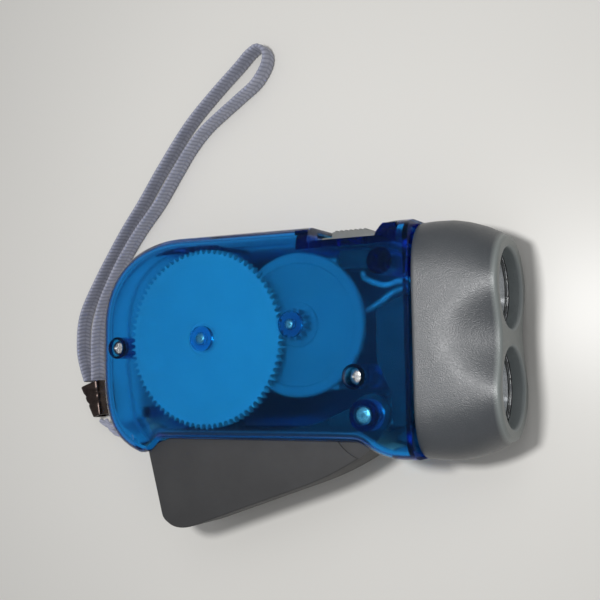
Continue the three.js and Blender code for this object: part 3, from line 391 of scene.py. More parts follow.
def _blend(level: list[Vector], t: list[float], depth: int, at: float) -> list[Vector]:
    """One stage of the centripetal spline's pyramid."""
    spans = {1: [(0, 1), (1, 2), (2, 3)], 2: [(0, 2), (1, 3)], 3: [(1, 2)]}[depth]
    return [
        level[j] * ((t[hi] - at) / (t[hi] - t[lo])) + level[j + 1] * ((at - t[lo]) / (t[hi] - t[lo]))
        for j, (lo, hi) in enumerate(spans)
    ]


def even_steps(points: Sequence[Vector], spacing: float) -> list[Vector]:
    """Walks a line in steps of one length.

    Args:
        points: The line.
        spacing: The wanted step.

    Returns:
        Points along it, both ends included.
    """
    reach = [0.0]
    for a, b in zip(points, points[1:]):
        reach.append(reach[-1] + (b - a).length)
    count = max(2, round(reach[-1] / spacing))
    made, i = [], 0
    for k in range(count + 1):
        want = reach[-1] * k / count
        while i < len(points) - 2 and reach[i + 1] < want:
            i += 1
        share = (want - reach[i]) / max(reach[i + 1] - reach[i], 1e-9)
        made.append(points[i].lerp(points[i + 1], min(max(share, 0), 1)))
    return made


# Finishes


def tone(red: int, green: int, blue: int) -> Colour:
    """A colour as it looks on a screen, from 0 to 255, made linear.

    Args:
        red: Its red.
        green: Its green.
        blue: Its blue.

    Returns:
        The linear colour.
    """
    return tuple(
        c / 12.92 if c <= 0.04045 else ((c + 0.055) / 1.055) ** 2.4
        for c in (red / 255, green / 255, blue / 255)
    )


class Wiring:
    """The nodes of one material, round its one Principled shader."""

    def __init__(self, name: str) -> None:
        """Starts a material.

        Args:
            name: The material's name.
        """
        self.material = bpy.data.materials.new(name)
        self.material.use_nodes = True
        self.tree = self.material.node_tree
        self.shader = self.tree.nodes["Principled BSDF"]
        coordinates = self.add("ShaderNodeTexCoord")
        self.place = coordinates.outputs["Object"]
        self.unwrapped = coordinates.outputs["UV"]

    def add(self, kind: str, **settings: object) -> bpy.types.Node:
        """Adds a node.

        Args:
            kind: The node's type.
            **settings: Its settings by name.

        Returns:
            The node.
        """
        node = self.tree.nodes.new(kind)
        for name, value in settings.items():
            setattr(node, name, value)
        return node

    def feed(self, source: bpy.types.NodeSocket, node: bpy.types.Node, socket: str | int) -> None:
        """Links a value to a node's socket.

        Args:
            source: Where the value comes from.
            node: The node that takes it.
            socket: The socket's name or number.
        """
        self.tree.links.new(source, node.inputs[socket])

    def stretched(self, centre: Solid, scale: Solid, turn: float = 0.0) -> bpy.types.NodeSocket:
        """Object coordinates about a centre in millimetres, stretched.

        Args:
            centre: The point that becomes the origin.
            scale: The stretch along each axis.
            turn: A turn about Z, in radians.

        Returns:
            The coordinates.
        """
        moved = self.add("ShaderNodeVectorMath", operation="SUBTRACT")
        moved.inputs[1].default_value = Vector(centre) * MM
        self.feed(self.place, moved, 0)
        node = self.add("ShaderNodeMapping")
        node.inputs["Scale"].default_value = scale
        node.inputs["Rotation"].default_value = (0, 0, turn)
        self.feed(moved.outputs[0], node, "Vector")
        return node.outputs[0]

    def noise(
        self, size: float, detail: float = 2.0, where: bpy.types.NodeSocket | None = None
    ) -> bpy.types.NodeSocket:
        """Soft random patches.

        Args:
            size: The size of a patch in millimetres.
            detail: How many finer layers it has.
            where: The coordinates, or the object's own.

        Returns:
            A value from 0 to 1.
        """
        node = self.add("ShaderNodeTexNoise")
        node.inputs["Scale"].default_value = 1 / (size * MM)
        node.inputs["Detail"].default_value = detail
        self.feed(where or self.place, node, "Vector")
        return node.outputs["Fac"]

    def spread(
        self, value: bpy.types.NodeSocket, source: Flat, result: Flat
    ) -> bpy.types.NodeSocket:
        """Maps one range of a value to another.

        Args:
            value: The value.
            source: Its range.
            result: The wanted range.

        Returns:
            The mapped value.
        """
        node = self.add("ShaderNodeMapRange")
        node.inputs["From Min"].default_value, node.inputs["From Max"].default_value = source
        node.inputs["To Min"].default_value, node.inputs["To Max"].default_value = result
        self.feed(value, node, "Value")
        return node.outputs[0]

    def blend(
        self, share: bpy.types.NodeSocket, first: Colour | bpy.types.NodeSocket, second: Colour
    ) -> bpy.types.NodeSocket:
        """Mixes two colours.

        Args:
            share: How much of the second.
            first: The first colour, or where it comes from.
            second: The second colour.

        Returns:
            The mixed colour.
        """
        node = self.add("ShaderNodeMix", data_type="RGBA")
        self.feed(share, node, 0)
        if isinstance(first, tuple):
            node.inputs[6].default_value = (*first, 1)
        else:
            self.feed(first, node, 6)
        node.inputs[7].default_value = (*second, 1)
        return node.outputs[2]

    def relief(
        self, height: bpy.types.NodeSocket, depth: float, under: bpy.types.NodeSocket | None = None
    ) -> bpy.types.NodeSocket:
        """Turns a height into a bumpy normal.

        Args:
            height: The height, from 0 to 1.
            depth: Its depth in millimetres.
            under: A coarser normal under it.

        Returns:
            The normal.
        """
        node = self.add("ShaderNodeBump")
        node.inputs["Distance"].default_value = depth * MM
        self.feed(height, node, "Height")
        if under is not None:
            self.feed(under, node, "Normal")
        return node.outputs[0]


@dataclass(frozen=True)
class Finish:
    """A finish with patches of tone, patches of gloss and a fine grain."""

    name: str
    colour: Colour
    second: Colour
    roughness: Flat
    patch: float = 6.0
    grain: float = 0.25
    grain_depth: float = 0.01
    metal: float = 0.0
    sheen: float = 0.0
    coat: float = 0.0
    transmission: float = 0.0
    milk: float = 0.0
    refraction: float = 1.5
    tint: Colour = (1.0, 1.0, 1.0)
    depth_tint: Colour = (1.0, 1.0, 1.0)
    depth_density: float = 0.0

    def build(self) -> bpy.types.Material:
        """Makes the material.

        Returns:
            The material.
        """
        wiring = Wiring(self.name)
        shader = wiring.shader
        shader.inputs["Metallic"].default_value = self.metal
        shader.inputs["Transmission Weight"].default_value = self.transmission
        shader.inputs["IOR"].default_value = self.refraction
        shader.inputs["Specular Tint"].default_value = (*self.tint, 1)
        shader.inputs["Sheen Weight"].default_value = self.sheen
        shader.inputs["Coat Weight"].default_value = self.coat
        shader.inputs["Coat Roughness"].default_value = 0.12
        if self.milk:
            shader.inputs["Subsurface Weight"].default_value = self.milk
            shader.inputs["Subsurface Radius"].default_value = (1.0, 1.0, 1.0)
            shader.inputs["Subsurface Scale"].default_value = 0.0012
        if self.depth_density:
            depth = wiring.add("ShaderNodeVolumeAbsorption")
            depth.inputs["Color"].default_value = (*self.depth_tint, 1)
            depth.inputs["Density"].default_value = self.depth_density
            wiring.feed(depth.outputs[0], wiring.tree.nodes["Material Output"], "Volume")
        wiring.feed(self.paint(wiring), shader, "Base Color")
        wiring.feed(self.gloss(wiring), shader, "Roughness")
        wiring.feed(self.surface(wiring), shader, "Normal")
        return wiring.material

    def paint(self, wiring: Wiring) -> bpy.types.NodeSocket:
        """The colour all over.

        Args:
            wiring: The material's nodes.

        Returns:
            The colour.
        """
        patches = wiring.spread(wiring.noise(self.patch, 3), (0.35, 0.65), (0, 1))
        return wiring.blend(patches, self.colour, self.second)

    def gloss(self, wiring: Wiring) -> bpy.types.NodeSocket:
        """The roughness all over.

        Args:
            wiring: The material's nodes.

        Returns:
            The roughness.
        """
        return wiring.spread(wiring.noise(self.patch / 3, 4), (0.3, 0.7), self.roughness)

    def surface(self, wiring: Wiring) -> bpy.types.NodeSocket:
        """The grain all over.

        Args:
            wiring: The material's nodes.

        Returns:
            The normal.
        """
        return wiring.relief(wiring.noise(self.grain, 3), self.grain_depth)


@dataclass(frozen=True)
class Brushed(Finish):
    """A metal with fine marks along one axis."""

    stretch: Solid = (1.0, 1.0, 0.08)

    def surface(self, wiring: Wiring) -> bpy.types.NodeSocket:
        """The marks of turning and drawing."""
        marks = wiring.noise(self.grain, 4, wiring.stretched((0, 0, 0), self.stretch))
        return wiring.relief(marks, self.grain_depth)


@dataclass(frozen=True)
class Flecked(Finish):
    """A grey with fine bright flecks of painted sparkle, standing in for glints of the grain in highlights."""

    painted_sparkle: Colour = (0.5, 0.5, 0.5)
    fleck_size: float = 0.22

    def paint(self, wiring: Wiring) -> bpy.types.NodeSocket:
        """The grey with its flecks of painted sparkle."""
        cells = wiring.add("ShaderNodeTexVoronoi")
        cells.inputs["Scale"].default_value = 1 / (self.fleck_size * MM)
        wiring.feed(wiring.place, cells, "Vector")
        # Painted sparkle: bright flecks in the colour stand in for glints of the grain.
        painted_sparkle_mask = wiring.spread(cells.outputs["Color"], (0.82, 1.0), (0, 0.55))
        return wiring.blend(painted_sparkle_mask, super().paint(wiring), self.painted_sparkle)


@dataclass(frozen=True)
class Lamped(Flecked):
    """The head's grey, with a painted highlight on its front and painted reflected light inside its two lamp wells."""

    between: Solid = (0.0, -1.8, 12.0)
    spread_y: float = 10.7
    well: Flat = (9.35, 9.2)
    # Painted reflected light inside the wells, then a painted highlight on the front.
    well_painted_light: Colour = (0.25, 0.28, 0.285)
    front: Flat = (70.9, 71.9)
    front_painted_highlight: Colour = (0.18, 0.2, 0.195)

    def paint(self, wiring: Wiring) -> bpy.types.NodeSocket:
        """The grey, then the painted highlight on the front, then the painted reflected light in the wells."""
        apart = wiring.add("ShaderNodeSeparateXYZ")
        wiring.feed(wiring.place, apart, 0)
        # Painted highlight: the front face is paler where light catches it.
        ahead = wiring.spread(apart.outputs[0], (self.front[0] * MM, self.front[1] * MM), (0, 1))
        grey = wiring.blend(ahead, super().paint(wiring), self.front_painted_highlight)
        # Painted reflected light: the lamp wells are paler to make up for their shade.
        folded = wiring.add("ShaderNodeVectorMath", operation="ABSOLUTE")
        wiring.feed(wiring.stretched(self.between, (0, 1, 1)), folded, 0)
        moved = wiring.add("ShaderNodeVectorMath", operation="SUBTRACT")
        moved.inputs[1].default_value = (0, self.spread_y * MM, 0)
        wiring.feed(folded.outputs[0], moved, 0)
        away = wiring.add("ShaderNodeVectorMath", operation="LENGTH")
        wiring.feed(moved.outputs[0], away, 0)
        inside = wiring.spread(away.outputs["Value"], (self.well[0] * MM, self.well[1] * MM), (0, 1))
        return wiring.blend(inside, grey, self.well_painted_light)


@dataclass(frozen=True)
class Woven(Finish):
    """Yarn that follows a strap's own coordinates."""

    pitch: float = 1.0
    valley_painted_shade: Colour = (0.1, 0.1, 0.12)

    def paint(self, wiring: Wiring) -> bpy.types.NodeSocket:
        """The yarn's tones, with painted shade between its ribs."""
        depth = wiring.add("ShaderNodeAttribute", attribute_name="yarn").outputs["Fac"]
        # Painted shade: the colour darkens where the yarn lies low between the ribs.
        return wiring.blend(wiring.spread(depth, (0.0, 0.55), (0.75, 0.0)), super().paint(wiring), self.valley_painted_shade)

    def surface(self, wiring: Wiring) -> bpy.types.NodeSocket:
        """Fine fibres along each yarn."""
        fibres = wiring.add("ShaderNodeTexNoise")
        fibres.inputs["Scale"].default_value = 1.0
        fibres.inputs["Detail"].default_value = 3
        stretch = wiring.add("ShaderNodeMapping")
        stretch.inputs["Scale"].default_value = (9.0, 2.5, 1.0)
        wiring.feed(wiring.unwrapped, stretch, "Vector")
        wiring.feed(stretch.outputs[0], fibres, "Vector")
        return wiring.relief(fibres.outputs["Fac"], self.grain_depth)


CASE_BLUE = Finish(
    "case_blue", (0.64, 0.87, 0.985), (0.62, 0.86, 0.98), (0.15, 0.19),
    patch=14, grain=0.5, grain_depth=0.0008, transmission=1.0, refraction=1.46, tint=(0.2, 0.5, 1.0),
    depth_tint=(0.0, 0.746, 0.962), depth_density=1060.0,
)
# The bezel's bright flecks are painted sparkle, and its front and lamp wells carry painted light.
BEZEL_GREY = Lamped(
    "bezel_grey", tone(57, 61, 65), tone(63, 66, 70), (0.34, 0.4),
    patch=9, grain=0.24, grain_depth=0.075, painted_sparkle=tone(104, 108, 111), fleck_size=0.11, refraction=1.72,
)
LEVER_GREY = Finish(
    "lever_grey", tone(49, 49, 50), tone(53, 53, 54), (0.55, 0.66), patch=8, grain=0.18, grain_depth=0.02,
)
SWITCH_GREY = Finish(
    "switch_grey", tone(110, 112, 110), tone(116, 117, 115), (0.48, 0.6), patch=3, grain=0.15, grain_depth=0.012,
)
NYLON = Finish(
    "nylon_white", (0.80, 0.84, 0.84), (0.86, 0.88, 0.88), (0.42, 0.52),
    patch=5, grain=0.4, grain_depth=0.006, milk=0.15,
)
GEAR_NYLON = Finish(
    "gear_nylon", (0.88, 0.84, 0.76), (0.93, 0.89, 0.80), (0.36, 0.44),
    patch=9, grain=0.5, grain_depth=0.006, milk=0.2,
)
DISC_NYLON = Finish(
    "disc_nylon", (0.80, 0.86, 0.88), (0.86, 0.90, 0.90), (0.38, 0.46),
    patch=5, grain=0.5, grain_depth=0.006, transmission=0.6,
)
STEEL = Brushed(
    "steel", (0.66, 0.66, 0.67), (0.74, 0.74, 0.74), (0.22, 0.34), patch=2, grain=0.12, grain_depth=0.004, metal=1,
)
CELL_STEEL = Brushed(
    "cell_steel", (0.60, 0.60, 0.60), (0.68, 0.68, 0.67), (0.28, 0.4),
    patch=4, grain=0.2, grain_depth=0.004, metal=1, stretch=(0.1, 1.0, 1.0),
)
FERRITE = Finish(
    "ferrite", (0.035, 0.035, 0.037), (0.055, 0.055, 0.056), (0.6, 0.75), patch=1.5, grain=0.12, grain_depth=0.02,
)
COPPER = Finish(
    "copper_wire", (0.62, 0.25, 0.10), (0.72, 0.33, 0.15), (0.25, 0.35),
    patch=2, grain=0.3, grain_depth=0.004, metal=0.9, coat=0.6,
)
CHROME = Finish(
    "reflector_chrome", (0.88, 0.89, 0.9), (0.93, 0.93, 0.93), (0.06, 0.12),
    patch=5, grain=0.8, grain_depth=0.002, metal=1,
)
CLEAR = Finish(
    "lens_clear", (0.95, 0.97, 0.98), (0.97, 0.98, 0.99), (0.01, 0.03),
    patch=8, grain=2, grain_depth=0.002, transmission=1.0, refraction=1.49,
)
BLACK = Finish(
    "black_plastic", (0.012, 0.012, 0.014), (0.022, 0.022, 0.024), (0.5, 0.62), patch=3, grain=0.2, grain_depth=0.01,
)
BOARD = Finish(
    "board_green", (0.02, 0.11, 0.035), (0.03, 0.16, 0.05), (0.3, 0.42), patch=2, grain=0.3, grain_depth=0.008, coat=0.3,
)
LEAD_LIGHT = Finish(
    "lead_light", (0.78, 0.81, 0.82), (0.85, 0.87, 0.87), (0.4, 0.52), patch=2, grain=0.3, grain_depth=0.006,
)
LEAD_RED = Finish(
    "lead_red", (0.42, 0.03, 0.02), (0.52, 0.05, 0.035), (0.4, 0.52), patch=2, grain=0.3, grain_depth=0.006,
)
# The strap's valley colour is painted shade between its ribs.
STRAP = Woven(
    "strap_fabric", tone(166, 168, 184), tone(150, 153, 170), (0.8, 0.92),
    patch=3, grain_depth=0.05, sheen=0.25, valley_painted_shade=tone(112, 115, 132),
)
FERRULE = Finish(
    "ferrule_metal", tone(52, 44, 42), tone(70, 60, 56), (0.22, 0.36), patch=2, grain=0.3, grain_depth=0.006, metal=0.9,
)


def dress(obj: bpy.types.Object, finish: Finish, angle: float = 30.0) -> bpy.types.Object:
    """Gives a new piece its finish and smooths its faces.

    Args:
        obj: The piece.
        finish: Its finish.
        angle: Edges sharper than this many degrees stay sharp.

    Returns:
        The piece.
    """
    obj.data.materials.clear()
    obj.data.materials.append(made(finish))
    select_only(obj)
    bpy.ops.object.shade_smooth_by_angle(angle=math.radians(angle))
    return obj


_MADE: dict[str, bpy.types.Material] = {}


def made(finish: Finish) -> bpy.types.Material:
    """The material of a finish, made once.

    Args:
        finish: The finish.

    Returns:
        Its material.
    """
    if finish.name not in _MADE:
        _MADE[finish.name] = finish.build()
    return _MADE[finish.name]


def carry(node: str, finish: Finish) -> None:
    """Gives a node of the frame a better finish.

    Args:
        node: The node's name.
        finish: Its finish.
    """
    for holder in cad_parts[node].material_slots:
        holder.material = made(finish)
    LOG.info("%s keeps its solid", node)


def stand_for(obj: bpy.types.Object, node: str, finish: Finish, body: str) -> None:
    """Dresses a piece and puts it in the place of a node.

    Args:
        obj: The new piece.
        node: The node that it replaces.
        finish: Its finish.
        body: The body that it rides on, or nothing, which leaves it on no body.
    """
    dress(obj, finish)
    obj.name = obj.data.name = f"{node}_made"
    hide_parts(node)
    if body:
        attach(obj, body)
    LOG.info("%s has %d faces", obj.name, len(obj.data.polygons))


# View, floor and light


@dataclass(frozen=True)
class Studio:
    """The photograph's viewpoint, a pale floor and soft light from above."""

    eye: Solid = (128.688, -8.723, 218.137)
    target: Solid = (26.135, 8.008, 21.4)
    roll: float = 0.019
    lens: float = 58.49
    floor_half: float = 0.9
    floor_tone: Colour = tone(223, 221, 216)
    floor_second: Colour = tone(219, 217, 212)
    floor_patch: float = 160.0
    sky: float = 0.38
    key_at: Solid = (180.0, 420.0, 620.0)
    key_size: float = 0.4
    key_power: float = 0.3
    flash_at: Solid = (40.0, 19.0, 258.0)
    flash_size: float = 0.035
    flash_power: float = 0.41

    def camera(self) -> None:
        """Makes the camera and sets it."""
        eye, target = Vector(self.eye) * MM, Vector(self.target) * MM
        ahead = (target - eye).normalized()
        right = ahead.cross(Vector((math.sin(self.roll), math.cos(self.roll), 0))).normalized()
        up = right.cross(ahead)
        data = bpy.data.cameras.new("viewpoint")
        data.lens = self.lens
        data.clip_start = 0.005
        camera = bpy.data.objects.new("viewpoint", data)
        camera.matrix_world = Matrix.Translation(eye) @ Matrix((right, up, -ahead)).transposed().to_4x4()
        bpy.context.scene.collection.objects.link(camera)
        bpy.context.scene.camera = camera
        bpy.context.scene.view_settings.view_transform = "Standard"

    def lamp(self, name: str, at: Solid, size: float, power: float) -> None:
        """Hangs a soft lamp that points at the case.

        Args:
            name: The lamp's name.
            at: Its place in millimetres.
            size: Its width in metres.
            power: Its power in watts.
        """
        data = bpy.data.lights.new(name, "AREA")
        data.shape = "DISK"
        data.size = size
        data.energy = power
        lamp = bpy.data.objects.new(name, data)
        place = Vector(at) * MM
        aim = Vector((0.02, 0, 0.01)) - place
        lamp.matrix_world = Matrix.Translation(place) @ aim.to_track_quat("-Z", "Y").to_matrix().to_4x4()
        bpy.context.scene.collection.objects.link(lamp)

    def light(self) -> None:
        """Sets the sky and hangs the lamps."""
        world = bpy.data.worlds.new("studio")
        world.use_nodes = True
        background = world.node_tree.nodes["Background"]
        background.inputs["Color"].default_value = (0.97, 0.98, 1.0, 1)
        background.inputs["Strength"].default_value = self.sky
        bpy.context.scene.world = world
        self.lamp("key_lamp", self.key_at, self.key_size, self.key_power)
        self.lamp("flash_lamp", self.flash_at, self.flash_size, self.flash_power)

    def floor(self) -> None:
        """Lays the floor."""
        bpy.ops.object.select_all(action="DESELECT")
        bpy.ops.mesh.primitive_plane_add(size=2 * self.floor_half)
        floor = bpy.context.object
        floor.name = "table"
        wiring = Wiring("table_top")
        patches = wiring.spread(wiring.noise(self.floor_patch, 2), (0.3, 0.7), (0, 1))
        wiring.feed(wiring.blend(patches, self.floor_tone, self.floor_second), wiring.shader, "Base Color")
        wiring.feed(wiring.relief(wiring.noise(0.6, 3), 0.004), wiring.shader, "Normal")
        wiring.shader.inputs["Roughness"].default_value = 0.31
        wiring.shader.inputs["Specular IOR Level"].default_value = 0.25
        floor.data.materials.append(wiring.material)


# Wrist strap


@dataclass
class WristStrap:
    """A flat braid on its edge, a crimped ferrule and a thin tether."""

    wide: float = 5.5
    thick: float = 1.4
    braid_points: int = 30
    braid_step: float = 0.15
    rib_pitch: float = 1.05
    rib_depth: float = 0.16
    braid_z: float = 2.95
    route: tuple[Flat, ...] = (
        (-49.9, -9.9), (-51.2, -6.4), (-52.2, -2.6), (-52.4, 1.6), (-52, 6), (-50.7, 10.2), (-46.3, 17.8),
        (-42.1, 24.1), (-36.9, 31.4), (-30.9, 38.9), (-24.6, 47.4), (-15.5, 58.4), (-7.6, 65.6), (-0.2, 71.6),
        (3.6, 74.8), (6.2, 75.8), (8, 74.4), (8.2, 71.6), (5.2, 66.9), (-0.2, 63.2), (-5.6, 59.8),
        (-10.9, 56.2), (-15.6, 51.6), (-20.4, 45.4), (-26.2, 37.6), (-32.4, 30.8), (-37.8, 23.8),
        (-41.6, 17.8), (-45, 11.4), (-46.8, 5.6), (-47.4, 0.6), (-47.4, -4), (-47.3, -7.4), (-47.4, -9.6),
    )
    tether_thick: float = 1.3
    tether_step: float = 0.16
    tether_lay: float = 2.6
    tether_route: tuple[Solid, ...] = (
        (-44.2, -20.5, 3.3), (-43.2, -21.9, 3.5), (-41.4, -23.4, 4), (-38.6, -24.4, 4.9), (-35, -24, 5.6),
        (-31.4, -22.7, 5.9), (-28.6, -21.4, 5.9), (-26, -20.7, 5.9), (-23.6, -20.4, 5.9), (-21.5, -19.2, 5.9),
        (-21.2, -16.9, 5.9), (-22.8, -15.4, 5.9), (-25, -15.8, 5.9), (-26.6, -17.7, 5.9), (-28.9, -19.5, 5.9),
        (-32.2, -20.9, 5.6), (-35.6, -22, 5.1), (-38.4, -22.5, 4.8), (-41.4, -22.2, 3.9), (-44, -21.9, 3.4),
        (-46, -20.7, 3.3),
    )
    ferrule_top: Flat = (-48.5, -10.6)
    ferrule_end: Flat = (-45.5, -19.4)
    ferrule_half: float = 3.3
    ferrule_end_half: float = 1.6
    ferrule_z: Flat = (0.2, 5.9)
    ferrule_sides: int = 40
    crimps: tuple[float, ...] = (0.3, 0.56)
    crimp_deep: float = 0.28

    def swept(
        self, name: str, line: Sequence[Vector], sides: int,
        section: Callable[[float, float], tuple[float, float, float]],
    ) -> bpy.types.Object:
        """A closed mesh tube along a line, with a UV map in millimetres and its yarn's height.

        Args:
            name: The object's name.
            line: The centreline in millimetres.
            sides: How many points go round it.
            section: Gives, from the place along and the angle, the reach up, the reach sideways
                and the height of the yarn.

        Returns:
            The mesh object.
        """
        points, heights = [], []
        place = 0.0
        last = len(line) - 1
        for i, at in enumerate(line):
            place += (at - line[i - 1]).length if i else 0.0
            ahead = (line[min(i + 1, last)] - line[max(i - 1, 0)]).normalized()
            up = (Vector((0, 0, 1)) - ahead * ahead.z).normalized()
            side = ahead.cross(up)
            for k in range(sides):
                rise, shift, yarn = section(place, 2 * math.pi * k / sides)
                points.append((at + up * rise + side * shift) * MM)
                heights.append(yarn)
        faces = []
        for i in range(last):
            for k in range(sides):
                a, b = i * sides + k, i * sides + (k + 1) % sides
                faces.append((a, b, b + sides, a + sides))
        faces.append(tuple(range(sides)))
        faces.append(tuple(last * sides + k for k in reversed(range(sides))))
        mesh = bpy.data.meshes.new(name)
        mesh.from_pydata(points, [], faces)
        yarn = mesh.attributes.new("yarn", "FLOAT", "POINT")
        yarn.data.foreach_set("value", heights)
        unwrapped = mesh.uv_layers.new(name="UVMap")
        step = place / last
        for face in mesh.polygons:
            for corner in face.loop_indices:
                vertex = mesh.loops[corner].vertex_index
                unwrapped.data[corner].uv = (vertex // sides * step, vertex % sides / sides)
        obj = bpy.data.objects.new(name, mesh)
        bpy.context.scene.collection.objects.link(obj)
        select_only(obj)
        bpy.ops.object.mode_set(mode="EDIT")
        bpy.ops.mesh.select_all(action="SELECT")
        bpy.ops.mesh.normals_make_consistent(inside=False)
        bpy.ops.object.mode_set(mode="OBJECT")
        return obj

    def braid_section(self, place: float, angle: float) -> tuple[float, float, float]:
        """One point of the braid's section: soft edges, slanting ribs and a groove down its middle.

        Args:
            place: How far along the braid.
            angle: The angle round it.

        Returns:
            The reach up, the reach sideways and the height of the yarn.
        """
        high, out = math.sin(angle), math.cos(angle)
        rise = math.copysign(abs(high) ** 0.72, high) * self.wide / 2
        shift = math.copysign(abs(out) ** 0.62, out) * self.thick / 2
        across = rise / (self.wide / 2)
        phase = place / self.rib_pitch + 0.55 * abs(across) * math.copysign(1, out)
        yarn = 0.5 + 0.5 * math.cos(2 * math.pi * phase)
        edge = abs(across) ** 6
        groove = math.exp(-((across / 0.09) ** 2))
        height = yarn * (1 - 0.7 * groove) * (1 - 0.4 * edge)
        sunk = self.rib_depth * (1 - height)
        return rise * (1 - sunk / self.wide * edge), shift - math.copysign(sunk, out) * abs(out) ** 0.3, height

    def tether_section(self, place: float, angle: float) -> tuple[float, float, float]:
        """One point of the tether's section: three strands laid round each other.

        Args:
            place: How far along the tether.
            angle: The angle round it.

        Returns:
            The reach up, the reach sideways and the height of the yarn.
        """
        turn = 3 * (angle - 2 * math.pi * place / (3 * self.tether_lay))
        height = abs(math.cos(turn / 2))
        reach = self.tether_thick / 2 * (0.8 + 0.2 * height)
        return reach * math.sin(angle), reach * math.cos(angle), height

    def ferrule(self) -> bpy.types.Object:
        """A flattened, tapering tube with a rolled mouth and two crimps."""
        top, end = Vector(self.ferrule_top), Vector(self.ferrule_end)
        run = (end - top).normalized()
        side = Vector((run.y, -run.x))
        middle = sum(self.ferrule_z) / 2
        half_z = (self.ferrule_z[1] - self.ferrule_z[0]) / 2
        rings = []

        def ring(share: float, inset: float) -> list[Solid]:
            """One section of the tube, at a share of its length."""
            half = self.ferrule_half + (self.ferrule_end_half - self.ferrule_half) * share - inset
            centre = top.lerp(end, share)
            made_ring = []
            for k in range(self.ferrule_sides):
                angle = 2 * math.pi * k / self.ferrule_sides
                out = math.copysign(abs(math.cos(angle)) ** 0.5, math.cos(angle)) * half
                rise = math.copysign(abs(math.sin(angle)) ** 0.42, math.sin(angle)) * (half_z - inset)
                made_ring.append((centre.x + side.x * out, centre.y + side.y * out, middle + rise))
            return made_ring

        rings += [ring(0.1, 0.75), ring(0.03, 0.7), ring(0.0, 0.45), ring(0.0, 0.15), ring(0.02, 0.0)]
        for k in range(1, 19):
            share = 0.02 + 0.95 * k / 19
            dent = sum(math.exp(-(((share - c) / 0.045) ** 2)) for c in self.crimps)
            rings.append(ring(share, self.crimp_deep * dent))
        rings += [ring(0.985, 0.05), ring(1.0, 0.3), ring(1.0, 0.62), ring(0.94, 0.7)]
        return loft("strap_ferrule_made", rings)

    def build(self) -> None:
        """Makes the ferrule, the braid and the tether."""
        ferrule = self.ferrule()
        stand_for(ferrule, "strap_ferrule", FERRULE, "case")

        line = smooth_route([(x, y, self.braid_z) for x, y in self.route], self.braid_step)
        braid = self.swept("strap_braid_made", line, self.braid_points, self.braid_section)
        stand_for(braid, "strap_braid", STRAP, "case")

        line = smooth_route(self.tether_route, self.tether_step)
        tether = self.swept("strap_tether_made", line, 18, self.tether_section)
        stand_for(tether, "strap_tether", STRAP, "case")


# Case


